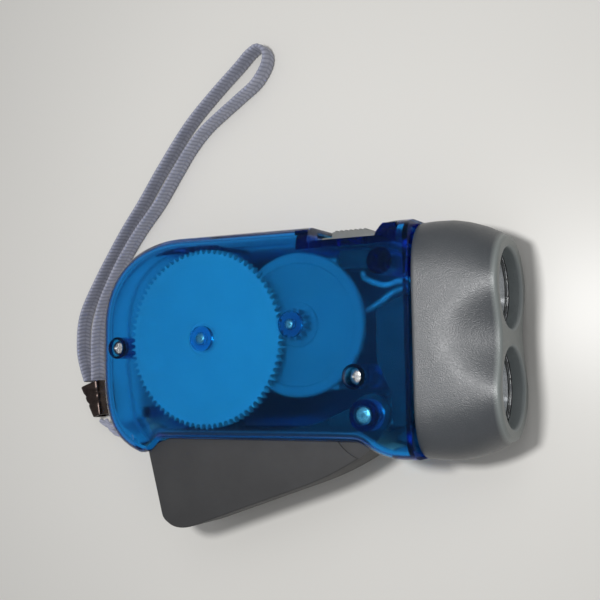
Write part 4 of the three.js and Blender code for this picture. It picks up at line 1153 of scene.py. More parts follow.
@dataclass
class Case:
    """The two shells: a rounded wall with its floors, bosses, holes and neck."""

    thick: float = 24.0
    wall: float = 1.6
    edge: float = 4.5
    joint: float = 0.3
    seam_x: float = 53.5
    bulkhead: float = 1.6
    body_top: float = 24.9
    top_at_head: float = 24.4
    body_bottom: float = 24.0
    head_bottom: float = 27.7
    heel_bottom: float = 27.6
    tail: float = 30.3
    tail_y: float = 3.2
    curve_steps: int = 22
    round_steps: int = 7
    overrun: float = 1.0
    fit: float = 0.3
    slide: float = 0.4
    recess_x: Flat = (29.3, 45.9)
    recess_floor: float = 21.0
    recess_rise: float = 4.6
    pocket: Solid = (27.6, 23.6, 6.2)
    stem_slot: tuple[Flat, Flat] = ((33.9, 40.4), (10.5, 13.5))
    lock_seat: tuple[Flat, Flat] = ((-14.2, 0.6), (6.1, 17.9))
    lock_floor: float = 23.5
    lock_pad_y: float = 21.4
    lock_pad_top: float = 18.6
    lock_pad_back: tuple[Flat, ...] = ((-9.0, 23.9), (-12.4, 23.5), (-15.8, 22.7))
    lock_slot: tuple[Flat, Flat] = ((-13.2, -7.0), (9.6, 12.0))
    lever_slot: tuple[Flat, float, Flat] = ((-20.8, 47.4), -19.5, (4.8, 19.2))
    strap_slot_z: Flat = (3.4, 8.2)
    strap_slot: tuple[Flat, ...] = (
        (-33, -24.9), (-23.4, -24.9), (-23.4, -19.8), (-26, -19.8), (-26, -16.9), (-33, -16.9),
    )
    neck_reach: float = 3.8
    neck_inset: float = 2.2
    neck_wall: float = 1.3

    def outline(self) -> list[Flat]:
        """The case in plan, anticlockwise, run on past the seam."""
        beyond = self.seam_x + 10
        tail_rise = self.tail_y + 0.68 * (self.body_top - self.tail_y)
        tail_drop = self.tail_y - 0.5 * (self.heel_bottom + self.tail_y)
        points: list[Flat] = [(beyond, -self.head_bottom), (beyond, self.top_at_head), (-7, self.body_top)]
        points += bezier(
            (-7, self.body_top), (-7 - 0.53 * (self.tail - 7), self.body_top), (-self.tail, tail_rise),
            (-self.tail, self.tail_y), self.curve_steps,
        )
        points += bezier(
            (-self.tail, self.tail_y), (-self.tail, tail_drop), (-31.7, 4.2 - self.heel_bottom),
            (-19.5, -self.heel_bottom), self.curve_steps,
        )
        points += bezier(
            (-19.5, -self.heel_bottom), (-16, -self.heel_bottom), (-16, -self.body_bottom),
            (-12.5, -self.body_bottom), self.curve_steps // 2,
        )
        points.append((38, -self.body_bottom))
        points += bezier(
            (38, -self.body_bottom), (41.5, -self.body_bottom), (43, -self.head_bottom),
            (50, -self.head_bottom), self.curve_steps // 2,
        )
        return points

    def skin(self, upper: bool) -> bpy.types.Object:
        """One half of the rounded wall, cut square at the head.

        Args:
            upper: Whether it is the front half.

        Returns:
            The wall.
        """
        outline = self.outline()
        seam = self.thick / 2 - self.joint / 2
        stop = self.seam_x - self.bulkhead

        def level(radius: float, angle: float, inner: bool) -> list[Solid]:
            """A ring at an angle round the edge, 0 at the flat face."""
            inset = self.edge - radius * math.sin(angle)
            base = self.wall if inner else 0.0
            z = base + radius * (1 - math.cos(angle))
            z = self.thick - z if upper else z
            return [(min(x, stop) if inner else x, y, z) for x, y in moved_in(outline, inset)]

        def at_seam(inset: float, inner: bool) -> list[Solid]:
            """A ring on the seam between the shells."""
            z = self.thick - seam if upper else seam
            return [(min(x, stop) if inner else x, y, z) for x, y in moved_in(outline, inset)]

        quarter = [math.pi / 2 * k / self.round_steps for k in range(self.round_steps + 1)]
        rings = [level(self.edge - self.wall, angle, True) for angle in quarter]
        rings += [at_seam(self.wall, True), at_seam(0.0, False)]
        rings += [level(self.edge, angle, False) for angle in reversed(quarter)]
        shell = loft("shell", rings)
        beyond = self.seam_x + 20
        head_side = block("head_side", (self.seam_x, beyond), (-60, 60), (-self.overrun, self.thick + self.overrun))
        return combine(shell, Operation.CUT, head_side)

    def neck(self, head: "Head", upper: bool) -> tuple[bpy.types.Object, bpy.types.Object]:
        """The neck that the bezel slides over, and its bore.

        Args:
            head: The head's form.
            upper: Whether it is the front half.

        Returns:
            The neck's half and the whole bore.
        """
        bore_inset = self.neck_inset + self.neck_wall
        outer = head.loft_between("neck", self.seam_x - self.overrun / 2, self.seam_x + self.neck_reach, self.neck_inset)
        bore = head.loft_between(
            "neck_bore", self.seam_x - self.bulkhead - self.overrun, self.seam_x + self.neck_reach + self.overrun,
            bore_inset,
        )
        seam = self.thick / 2 - self.joint / 2
        away = (-self.overrun, self.thick - seam) if upper else (seam, self.thick + self.overrun)
        return combine(outer, Operation.CUT, block("other_half", (40, 70), (-60, 60), away)), bore

    def switch_recess(self) -> list[bpy.types.Object]:
        """What is cut away for the thumb switch: a saddle with a rounded ramp, a pocket and a slot."""
        left, right = self.recess_x
        top = self.top_at_head
        ramp = bezier(
            (right, self.recess_floor), (right + 0.35, self.recess_floor + 2.1), (right + 1.9, top - 0.1),
            (right + self.recess_rise, top + 0.05), 8,
        )
        lip = bezier(
            (left - 1.5, self.body_top + 0.3), (left - 0.5, top + 0.35), (left, top), (left, top - 1.0), 5,
        )
        z = (-self.overrun, self.thick + self.overrun)
        saddle = plate("saddle", [
            (left, self.recess_floor), (right, self.recess_floor), *ramp,
            (right + self.recess_rise, self.body_top + 2), (left - 1.5, self.body_top + 2), *lip,
        ], *z)
        middle = self.thick / 2
        pocket = block(
            "pocket", (self.pocket[0], left + self.overrun), (self.recess_floor, self.pocket[1]),
            (middle - self.pocket[2], middle + self.pocket[2]),
        )
        slot = block("stem_slot", self.stem_slot[0], (18, self.recess_floor + self.overrun), self.stem_slot[1])
        return [saddle, pocket, slot]

    def lock_recess(self) -> list[bpy.types.Object]:
        """What is cut away for the lever lock."""
        seat = block("lock_seat", self.lock_seat[0], (self.lock_floor, self.body_top + self.overrun), self.lock_seat[1])
        slot = block(
            "lock_slot", self.lock_slot[0], (self.lock_pad_y - self.overrun, self.lock_floor + self.overrun),
            self.lock_slot[1],
        )
        return [seat, slot]

    def lever_opening(self) -> bpy.types.Object:
        """The long opening that the lever swings in."""
        x, top, z = self.lever_slot
        return block("lever_slot", x, (-self.head_bottom - self.overrun, top), z)

    def shell(self, head: "Head", upper: bool) -> bpy.types.Object:
        """One shell with its pads, neck and openings, before its bosses.

        Args:
            head: The head's form.
            upper: Whether it is the front shell.

        Returns:
            The shell.
        """
        seam = self.thick / 2 - self.joint / 2
        ceiling = self.thick - self.wall
        half = (self.thick - seam, ceiling + self.wall / 2) if upper else (self.wall / 2, seam)
        inner_y = self.body_top - self.wall / 2
        floor = block(
            "switch_floor", (self.pocket[0] - self.wall, self.recess_x[1] + self.recess_rise),
            (self.recess_floor - self.wall, inner_y - self.slide), half,
        )
        low, high = self.lock_seat[0][0] - self.wall, self.lock_seat[0][1] + self.wall
        pad = plate("lock_pad", [
            (low, self.lock_pad_y), (high, self.lock_pad_y), (high, inner_y), *self.lock_pad_back,
        ], half[0], min(half[1], self.lock_pad_top))
        neck, bore = self.neck(head, upper)
        made_shell = combine(self.skin(upper), Operation.JOIN, floor, pad, neck)
        return combine(
            made_shell, Operation.CUT, bore, *self.switch_recess(), *self.lock_recess(), self.lever_opening()
        )

    def bosses(self, upper: bool, fittings: "Fittings") -> tuple[list[bpy.types.Object], list[bpy.types.Object]]:
        """The bosses of one shell and the holes in them.

        Args:
            upper: Whether it is the front shell.
            fittings: The pins, screws and pegs that they hold.

        Returns:
            The bosses and the holes.
        """
        seam = self.thick / 2 - self.joint / 2
        ceiling = self.thick - self.wall
        posts, holes = [], []
        for boss in fittings.bosses():
            low, high = (boss.front, ceiling + self.wall / 2) if upper else (self.wall / 2, boss.back)
            if low is None or high is None:
                continue
            posts.append(turned("boss", [(low, boss.radius), (high, boss.radius)], boss.at, sides=48))
        for hole in fittings.holes(upper, self.thick + self.overrun, seam):
            holes.append(turned("hole", [(hole[1], hole[3]), (hole[2], hole[3])], hole[0], sides=36))
        return posts, holes

    def build(self, head: "Head", fittings: "Fittings") -> None:
        """Makes both shells.

        Args:
            head: The head's form.
            fittings: The pins, screws and pegs that the shells hold.
        """
        for upper in (True, False):
            shell = self.shell(head, upper)
            posts, holes = self.bosses(upper, fittings)
            shell = combine(shell, Operation.JOIN, *posts)
            shell = combine(shell, Operation.CUT, *holes)
            if upper:
                peg = turned("peg", fittings.peg_profile(), fittings.peg_at, sides=32)
                shell = combine(shell, Operation.JOIN, peg)
            else:
                way = plate("strap_way", list(self.strap_slot), *self.strap_slot_z)
                shell = combine(shell, Operation.CUT, way)
            stand_for(shell, "front_shell" if upper else "back_shell", CASE_BLUE, "case")


@dataclass(frozen=True)
class Boss:
    """A round boss: where it is, its radius and how far it comes down or up."""

    at: Flat
    radius: float
    front: float | None
    back: float | None


@dataclass
class Fittings:
    """Axles, pins, screws and the peg that join the shells."""

    gear_at: Flat = (0.0, 0.0)
    rotor_at: Flat = (24.1215, 2.4927)
    pivot_at: Flat = (42.1, -18.0)
    tail_screw_at: Flat = (-24.7, -1.6)
    head_screw_at: Flat = (39.8, -9.6)
    peg_at: Flat = (46.5, 15.5)
    strap_post_at: Flat = (-23.6, -17.9)
    boss_radius: float = 3.0
    tail_boss: float = 2.7
    fit: float = 0.3
    gear_top: float = 21.0
    lever_z: Flat = (5.3, 18.7)
    pin_foot: float = 1.3
    pin_top: float = 23.1
    pin_hole_top: float = 23.4
    gear_pin: float = 1.2
    rotor_pin: float = 1.0
    lever_pin: float = 1.9
    bolt: float = 1.1
    screw_head: float = 1.9
    head_thick: float = 1.5
    tail_screw_top: float = 22.8
    head_screw_top: float = 21.2
    peg_radius: float = 1.3
    peg_tip: float = 9.0
    seam: float = 12.0

    def bosses(self) -> list[Boss]:
        """Every boss of the two shells."""
        above, below = self.seam + self.fit / 2, self.seam - self.fit / 2
        return [
            Boss(self.gear_at, self.boss_radius, self.gear_top + self.fit, 8.7),
            Boss(self.rotor_at, self.boss_radius, self.gear_top + self.fit, None),
            Boss(self.rotor_at, 2.6, None, 5.9),
            Boss(self.pivot_at, 3.5, self.lever_z[1] + self.fit, self.lever_z[0] - self.fit),
            Boss(self.tail_screw_at, self.tail_boss, above, below),
            Boss(self.head_screw_at, 2.8, above, below),
            Boss(self.peg_at, self.boss_radius, above, below),
            Boss(self.strap_post_at, 1.5, None, below),
        ]

    def holes(self, upper: bool, through: float, seam: float) -> list[tuple[Flat, float, float, float]]:
        """Holes of one shell: centre, from, to and radius.

        Args:
            upper: Whether it is the front shell.
            through: A height above the case.
            seam: The height of the seam.

        Returns:
            The holes.
        """
        pins = ((self.gear_at, self.gear_pin), (self.rotor_at, self.rotor_pin), (self.pivot_at, self.lever_pin))
        screws = ((self.tail_screw_at, self.tail_screw_top), (self.head_screw_at, self.head_screw_top))
        if not upper:
            made_holes = [(at, 1.0, seam + 1, radius + self.fit) for at, radius in pins]
            made_holes += [(at, 1.6, seam + 1, self.bolt + self.fit) for at, _ in screws]
            made_holes.append((self.peg_at, 1.6, seam + 1, self.peg_radius + self.fit))
            return made_holes
        made_holes = [(at, seam, self.pin_hole_top, radius + self.fit) for at, radius in pins]
        for at, top in screws:
            made_holes.append((at, seam, through, self.bolt + self.fit))
            made_holes.append((at, top - self.head_thick - self.fit, through, self.screw_head + self.fit))
        return made_holes

    def peg_profile(self) -> list[Flat]:
        """The locating peg with its chamfered tip."""
        return [
            (self.peg_tip, self.peg_radius - 0.35), (self.peg_tip + 0.35, self.peg_radius),
            (self.seam + 1.15, self.peg_radius),
        ]

    def pin(self, name: str, at: Flat, radius: float) -> None:
        """A steel pin with chamfered ends.

        Args:
            name: The node's name.
            at: Its centre.
            radius: Its radius.
        """
        chamfer = 0.22 * radius
        profile = [
            (self.pin_foot, radius - chamfer), (self.pin_foot + chamfer, radius),
            (self.pin_top - chamfer, radius), (self.pin_top - chamfer / 3, radius - chamfer / 3),
            (self.pin_top, radius - chamfer), (self.pin_top, radius / 4), (self.pin_top - 0.12 * radius, radius / 8),
        ]
        stand_for(turned(name, profile, at, sides=40), name, STEEL, "case")

    def screw(self, name: str, at: Flat, top: float) -> None:
        """A pan-head screw with a cross recess and a threaded shank.

        Args:
            name: The node's name.
            at: Its centre.
            top: The height of its head's top.
        """
        bottom = 1.9
        profile = [(bottom, 0.35), (bottom + 0.5, 0.75)]
        pitch, place = 0.55, bottom + 0.8
        while place < top - self.head_thick - pitch:
            profile += [(place, 0.8), (place + pitch / 2, self.bolt)]
            place += pitch
        shoulder = top - self.head_thick
        profile += [(shoulder, 0.85), (shoulder, self.screw_head - 0.15), (shoulder + 0.15, self.screw_head)]
        rim = 0.5 * self.head_thick
        profile.append((shoulder + rim, self.screw_head))
        for k in range(1, 6):
            angle = math.pi / 2 * k / 6
            profile.append((shoulder + rim + (self.head_thick - rim) * math.sin(angle),
                            self.screw_head * (0.35 + 0.65 * math.cos(angle))))
        profile.append((top, 0.3))
        body = turned(name, profile, at, sides=40)
        slots = []
        for wide, tall in ((1.25, 0.24), (0.24, 1.25)):
            slots.append(block("slot", (at[0] - wide, at[0] + wide), (at[1] - tall, at[1] + tall), (top - 0.75, top + 0.5)))
        stand_for(combine(body, Operation.CUT, *slots), name, STEEL, "case")

    def build(self) -> None:
        """Makes the pins and screws."""
        self.pin("gear_axle", self.gear_at, self.gear_pin)
        self.pin("rotor_axle", self.rotor_at, self.rotor_pin)
        self.pin("lever_pin", self.pivot_at, self.lever_pin)
        self.screw("tail_screw", self.tail_screw_at, self.tail_screw_top)
        self.screw("head_screw", self.head_screw_at, self.head_screw_top)


# Head


@dataclass
class Head:
    """The two-barrelled bezel with its lenses, reflectors, lamps and board."""

    seam_x: float = 53.5
    fit: float = 0.3
    length: float = 18.8
    wall: float = 1.8
    face: float = 3.0
    lamp_y: float = -1.8
    spread: float = 10.7
    barrel: float = 11.5
    hole: float = 8.7
    middle_z: float = 12.0
    full_reach: float = 26.05
    reach_shares: tuple[float, ...] = (26, 26.2, 26.1, 25.4, 24.2, 22.9, 22.2)
    stations: tuple[float, ...] = (0, 0.2, 0.4, 0.6, 0.8, 0.95, 1)
    scoop_start: float = 6.9
    scoop_curve: float = 0.068
    scoop_slope: float = 0.27
    scoop_soft: float = 1.3
    scoop_half: float = 12.8
    inner_share: float = 0.75
    rear_power: float = 2.8
    front_power: float = 2.0
    front_edge: float = 0.8
    cap_steps: int = 28
    waist_steps: int = 22
    lens_thick: float = 1.4
    lens_radius: float = 9.2
    lens_bridge: float = 5.0
    throat: float = 3.4
    rim: float = 9.1
    bowl_wall: float = 0.8
    bowl_deep: float = 7.0
    lamp_radius: float = 2.5
    lamp_length: float = 7.4

    def reach(self, share: float) -> float:
        """Half the head's height at a share of its length, on a smooth curve through its stations."""
        i = 1
        while i < len(self.stations) - 1 and self.stations[i] < share:
            i += 1
        low, high = self.stations[i - 1], self.stations[i]
        t = min(max((share - low) / (high - low), 0), 1)
        values = self.reach_shares
        before = values[max(i - 2, 0)]
        a, b = values[i - 1], values[i]
        after = values[min(i + 1, len(values) - 1)]
        curve = 0.5 * (
            2 * a + (b - before) * t + (2 * before - 5 * a + 4 * b - after) * t**2
            + (3 * a - before - 3 * b + after) * t**3
        )
        straight = a + (b - a) * t
        return self.full_reach / self.reach_shares[0] * min(curve, straight + 0.04)

    def scoop(self, place: float, y: float) -> float:
        """How deep the saddle between the lamps is, under the barrels' tops.

        Args:
            place: The distance from the bezel's rear edge.
            y: The distance from the head's middle line.

        Returns:
            The depth in millimetres.
        """
        run = (place - self.scoop_start - self.scoop_curve * y * y) / self.scoop_soft
        ramp = run if run > 20 else math.log1p(math.exp(run))
        share = min(abs(y) / self.scoop_half, 1)
        return self.scoop_slope * self.scoop_soft * ramp * (1 - share * share) ** 1.5

    def section(self, share: float, inset: float) -> list[Flat]:
        """The head's cross-section: two barrels and the waist between them.

        Args:
            share: The place along the head.
            inset: How far it is moved in.

        Returns:
            Points as y and z.
        """
        place = share * (self.length - self.front_edge)
        deep = self.inner_share if inset >= self.wall else 1.0
        power = 2 / (self.rear_power + (self.front_power - self.rear_power) * share)
        half = self.barrel - inset
        reach = self.reach(share) - self.spread - inset
        points: list[Flat] = []

        def eased(value: float) -> float:
            """A signed power of a value."""
            return math.copysign(abs(value) ** power, value)

        def add(y: float, z: float) -> None:
            """Adds a point, sunk into the saddle."""
            high = abs(z) / half if half else 0.0
            z -= math.copysign(deep * self.scoop(place, y) * high, z)
            points.append((self.lamp_y + y, self.middle_z + z))

        for side in (1, -1):
            for k in range(self.cap_steps + 1):
                angle = -math.pi / 2 + math.pi * k / self.cap_steps
                add(side * (self.spread + reach * eased(math.cos(angle))), side * half * eased(math.sin(angle)))
            for k in range(1, self.waist_steps):
                add(side * self.spread * (1 - 2 * k / self.waist_steps), side * half)
        return points

    def loft_between(self, name: str, start: float, end: float, inset: float) -> bpy.types.Object:
        """A straight loft of the rear section, for the neck."""
        return loft(name, [[(x, y, z) for y, z in self.section(0, inset)] for x in (start, end)])

    def bezel(self) -> bpy.types.Object:
        """The bezel: one skin from its inner front round its rear edge to its rounded front."""
        x0 = self.seam_x + self.fit
        inside = self.length - self.face

        def ring(place: float, inset: float) -> list[Solid]:
            """The section at a distance from the rear edge."""
            share = min(place / (self.length - self.front_edge), 1)
            return [(x0 + place, y, z) for y, z in self.section(share, inset)]

        count = 30
        rings = [ring(inside * (1 - k / count), self.wall) for k in range(count)]
        rings += [ring(0.25, self.wall), ring(0.0, self.wall - 0.25), ring(0.0, 0.35), ring(0.1, 0.1), ring(0.35, 0.0)]
        body = self.length - self.front_edge
        rings += [ring(0.35 + (body - 0.35) * k / (count + 4), 0.0) for k in range(1, count + 5)]
        for k in range(1, 7):
            angle = math.pi / 2 * k / 6
            rings.append(ring(body + self.front_edge * math.sin(angle), self.front_edge * (1 - math.cos(angle))))
        bezel = loft("head_bezel", rings)
        front = x0 + self.length
        cuts = []
        for side in (1, -1):
            rim = [(x0 + inside - 1, self.hole), (front - 0.9, self.hole)]
            for k in range(1, 7):
                angle = math.pi / 2 * k / 6
                rim.append((front - 0.9 + 0.9 * math.sin(angle), self.hole + 0.9 * (1 - math.cos(angle))))
            rim.append((front + 0.5, self.hole + 0.9))
            cuts.append(turned("lamp_hole", rim, (self.lamp_y + side * self.spread, self.middle_z), True, 96))
        return combine(bezel, Operation.CUT, *cuts)

    def lens(self) -> bpy.types.Object:
        """Two clear discs joined by a bridge."""
        front = self.seam_x + self.length - self.face
        back = front - self.lens_thick
        discs = []
        for side in (1, -1):
            profile = [(back, self.lens_radius - 0.2), (back + 0.2, self.lens_radius), (front - 0.2, self.lens_radius),
                       (front, self.lens_radius - 0.2)]
            discs.append(turned("lens", profile, (self.lamp_y + side * self.spread, self.middle_z), True, 72))
        bridge = block(
            "bridge", (back, front), (self.lamp_y - self.spread, self.lamp_y + self.spread),
            (self.middle_z - self.lens_bridge, self.middle_z + self.lens_bridge),
        )
        return combine(discs[0], Operation.JOIN, bridge, discs[1])

    def reflector(self, y: float) -> bpy.types.Object:
        """A deep bowl with an even wall."""
        rim_x = self.seam_x + self.length - self.face - self.lens_thick - self.fit
        throat_x = rim_x - self.bowl_deep
        steps = 16
        inner, outer = [], []
        for k in range(steps + 1):
            t = k / steps
            radius = self.throat + (self.rim - self.bowl_wall - self.throat) * math.sqrt(t)
            inner.append((throat_x + t * self.bowl_deep, radius))
            outer.append((throat_x + t * self.bowl_deep, radius + self.bowl_wall))
        profile = [*inner, *reversed(outer), inner[0]]
        return turned("reflector", profile, (y, self.middle_z), True, 72)

    def led(self, y: float) -> bpy.types.Object:
        """A clear lamp with a flange and a round nose."""
        base = self.seam_x + 3.8 + self.fit + 1.4 + self.fit
        start = base + self.lamp_length - self.lamp_radius
        profile = [(base, 2.75), (base + 0.15, 2.9), (base + 0.85, 2.9), (base + 1.0, 2.75), (base + 1.0, self.lamp_radius)]
        for k in range(9):
            angle = math.pi / 2 * k / 9
            profile.append((start + self.lamp_radius * math.sin(angle), self.lamp_radius * math.cos(angle)))
        profile.append((start + self.lamp_radius, 0.05))
        return turned("led", profile, (y, self.middle_z), True, 40)

    def build(self) -> None:
        """Makes the head's pieces."""
        bezel = self.bezel()
        stand_for(bezel, "head_bezel", BEZEL_GREY, "case")
        stand_for(self.lens(), "lens_plate", CLEAR, "case")
        for name, side in (("upper", 1), ("lower", -1)):
            y = self.lamp_y + side * self.spread
            stand_for(self.reflector(y), f"{name}_reflector", CHROME, "case")
            stand_for(self.led(y), f"{name}_led", CLEAR, "case")
        carry("led_board", BOARD)
        carry("lamp_housing", BLACK)


# Lever


def ring_points(centre: Flat, radius: float, start: float, end: float, steps: int) -> list[Flat]:
    """Points on an arc, both ends included, with its angles in degrees."""
    made_points = []
    for k in range(steps + 1):
        angle = math.radians(start + (end - start) * k / max(steps, 1))
        made_points.append((centre[0] + radius * math.cos(angle), centre[1] + radius * math.sin(angle)))
    return made_points


def gear_outline(centre: Flat, tip: float, root: float, teeth: int, phase: float, share: float) -> list[Flat]:
    """A gear's outline with rounded tips and sloping flanks.

    Args:
        centre: Its centre.
        tip: The radius of its tips.
        root: The radius of its roots.
        teeth: How many teeth.
        phase: The angle of the first tooth in degrees.
        share: How much of its pitch a tooth takes halfway up.

    Returns:
        The outline.
    """
    pitch = 360 / teeth
    rise = tip - root
    profile = (
        (-0.5, root), (-0.5 * share - 0.13, root), (-0.5 * share - 0.02, root + 0.35 * rise),
        (-0.5 * share + 0.09, tip - 0.12 * rise), (-0.5 * share + 0.14, tip),
    )
    sides = [*profile[1:], *[(-at, radius) for at, radius in reversed(profile[1:])]]
    made_points = []
    for k in range(teeth):
        for at, radius in sides:
            angle = math.radians(phase + pitch * (k + at))
            made_points.append((centre[0] + radius * math.cos(angle), centre[1] + radius * math.sin(angle)))
    return made_points


@dataclass
class SqueezeLever:
    """The squeeze lever: two side plates, a finger plate, an ear and a toothed arm."""

    pivot: Flat = (42.1, -18.0)
    open_angle: float = 19.3
    z: Flat = (5.3, 18.7)
    wall: float = 1.5
    finger: float = 1.8
    ear: float = 4.6
    pin_hole: float = 2.2
    side: tuple[Flat, ...] = (
        (-18.2, -5.7), (-19.7, -23.5), (-17.5, -26.4), (-13.7, -27.8), (25, -27.8), (35.5, -26.3),
        (41.5, -24.2), (45.9, -20.6), (42.1, -18), (38.6, -14.9), (28, -15.5), (12, -13.2), (-4, -7.8),
        (-10.3, -5.7),
    )
    hollow: tuple[Flat, ...] = (
        (-16.4, 1), (-17.9, -23.5), (-13.7, -26.0), (25, -26.0), (34.6, -24.5), (40.6, -22.4),
        (47.7, -22.4), (47.7, 1),
    )
    window: tuple[Flat, Flat] = ((-20, -16), (8.5, 13.1))
    step_radius: float = 10.45
    step_deep: float = 0.35
    rack_z: Flat = (9.2, 13)
    rack_back: float = 38.0
    rack_pitch: float = 40.987
    rack_teeth: int = 7
    rack_module: float = 0.8
    rack_foot: float = 192.0
    pinion_at: Flat = (0.0, 0.0)

    def outline(self) -> list[Flat]:
        """The side plate's outline with its corners rounded."""
        corners_flat = list(self.side)
        pivot_at = corners_flat.index((42.1, -18))
        made_points: list[Flat] = []
        soft = {1: 1.2, 2: 2.4, 3: 3.0, 4: 6.0, 5: 6.0, 6: 3.0}
        for i, corner in enumerate(corners_flat):
            if i == pivot_at:
                made_points.append(corner)
                continue
            last, following = corners_flat[i - 1], corners_flat[(i + 1) % len(corners_flat)]
            reach = soft.get(i, 0.6)
            here = Vector(corner)
            towards, away = Vector(last) - here, Vector(following) - here
            start = here + towards.normalized() * min(reach, 0.45 * towards.length)
            end = here + away.normalized() * min(reach, 0.45 * away.length)
            for k in range(6):
                t = k / 5
                at = start * (1 - t) ** 2 + here * 2 * t * (1 - t) + end * t**2
                made_points.append((at.x, at.y))
        return made_points

    def arm(self) -> bpy.types.Object:
        """The toothed arm about the pivot."""
        bearing = math.degrees(math.atan2(self.pivot[1] - self.pinion_at[1], self.pivot[0] - self.pinion_at[0]))
        mesh_angle = 180 + bearing - self.open_angle
        pitch = 180 * self.rack_module / self.rack_pitch
        root = self.rack_pitch - self.rack_module * 1.2
        tip = self.rack_pitch + self.rack_module * 0.95
        top = mesh_angle - 1.76
        points = ring_points(self.pivot, root, top, top, 0)
        for k in range(self.rack_teeth):
            centre = mesh_angle + k * pitch
            for shift, radius in ((-0.32, root), (-0.062, tip), (0.062, tip), (0.32, root)):
                points += ring_points(self.pivot, radius, centre + shift * pitch, centre, 0)
        teeth_end = mesh_angle + self.rack_teeth * pitch
        points += ring_points(self.pivot, root, teeth_end, self.rack_foot, 10)
        points += ring_points(self.pivot, self.rack_back, self.rack_foot, top, 24)
        return plate("rack", points, *self.rack_z)

    def build(self) -> None:
        """Makes the lever closed, then opens it."""
        outline = self.outline()
        lever = plate("lever", outline, *self.z, edge=0.35)
        lever = combine(lever, Operation.JOIN, turned(
            "ear", [(self.z[0], self.ear - 0.35), (self.z[0] + 0.35, self.ear), (self.z[1] - 0.35, self.ear),
                    (self.z[1], self.ear - 0.35)], self.pivot, sides=72,
        ))
        inner = (self.z[0] + self.wall, self.z[1] - self.wall)
        face = plate("finger_face", [(-60, -60), (60, -60), (60, -26.9), (-60, -26.9)], 0, 24)
        arm = combine(self.arm(), Operation.CUT, face)
        hollow = plate("hollow", list(self.hollow), *inner)
        pin = turned("pin_hole", [(self.z[0] - 1, self.pin_hole), (self.z[1] + 1, self.pin_hole)], self.pivot, sides=48)
        window = block("window", (-21, -15.4), *self.window)
        step = turned(
            "step", [(self.z[1] - self.step_deep, self.step_radius), (self.z[1] + 1, self.step_radius)], self.pivot,
            sides=120,
        )
        lever = combine(lever, Operation.CUT, hollow, step, pin, window)
        lever = combine(lever, Operation.JOIN, arm)
        about = Vector((*self.pivot, 0)) * MM
        turn = Matrix.Translation(about) @ Matrix.Rotation(math.radians(self.open_angle), 4, "Z")
        lever.data.transform(turn @ Matrix.Translation(-about))
        stand_for(lever, "squeeze_lever", LEVER_GREY, "lever")


# Thumb switch and lever lock


@dataclass
class ThumbSwitch:
    """The ribbed thumb switch: a foot plate, a ribbed block, a ramp and a stem."""

    foot_x: Flat = (30.1, 45.5)
    foot_y: Flat = (21.3, 22.3)
    foot_z: Flat = (6.2, 17.8)
    block_x: Flat = (32.8, 42.1)
    block_top: float = 23.8
    block_inset: float = 0.5
    ramp_end: float = 45.5
    ribs: int = 7
    rib_deep: float = 0.34
    stem_x: Flat = (36.5, 40.0)
    stem_y: Flat = (19.3, 21.8)
    stem_half: float = 1.1
    middle_z: float = 12.0

    def profile(self) -> list[Flat]:
        """The slider seen from the side: foot, rounded block with ribs, then a ramp."""
        low, high = self.block_x
        points: list[Flat] = [
            (self.foot_x[0], self.foot_y[0]), (self.foot_x[1], self.foot_y[0]),
            (self.foot_x[1], self.foot_y[1] - 0.2), (self.foot_x[1] - 0.2, self.foot_y[1]),
        ]
        points += [(43.3, 22.9), (high + 0.1, 23.35)]
        pitch = (high - low - 1.0) / self.ribs
        for k in reversed(range(self.ribs)):
            start = low + 0.5 + k * pitch
            for share, deep in ((0.92, 1.0), (0.7, 0.15), (0.5, 0.0), (0.3, 0.15), (0.08, 1.0)):
                points.append((start + share * pitch, self.block_top - deep * self.rib_deep))
        points += [(low + 0.25, self.block_top - 0.25), (low, self.block_top - 0.7), (low, self.foot_y[1])]
        points += [(self.foot_x[0] + 0.3, self.foot_y[1]), (self.foot_x[0], self.foot_y[1] - 0.3)]
        return points

    def build(self) -> None:
        """Makes the slider."""
        slider = plate("slider", self.profile(), *self.foot_z, edge=0.18, steps=2)
        stem = block(
            "stem", self.stem_x, (self.stem_y[0], self.stem_y[1] + 0.2),
            (self.middle_z - self.stem_half, self.middle_z + self.stem_half), edge=0.15,
        )
        stand_for(combine(slider, Operation.JOIN, stem), "switch_slider", SWITCH_GREY, "switch")
        carry("switch_body", BLACK)


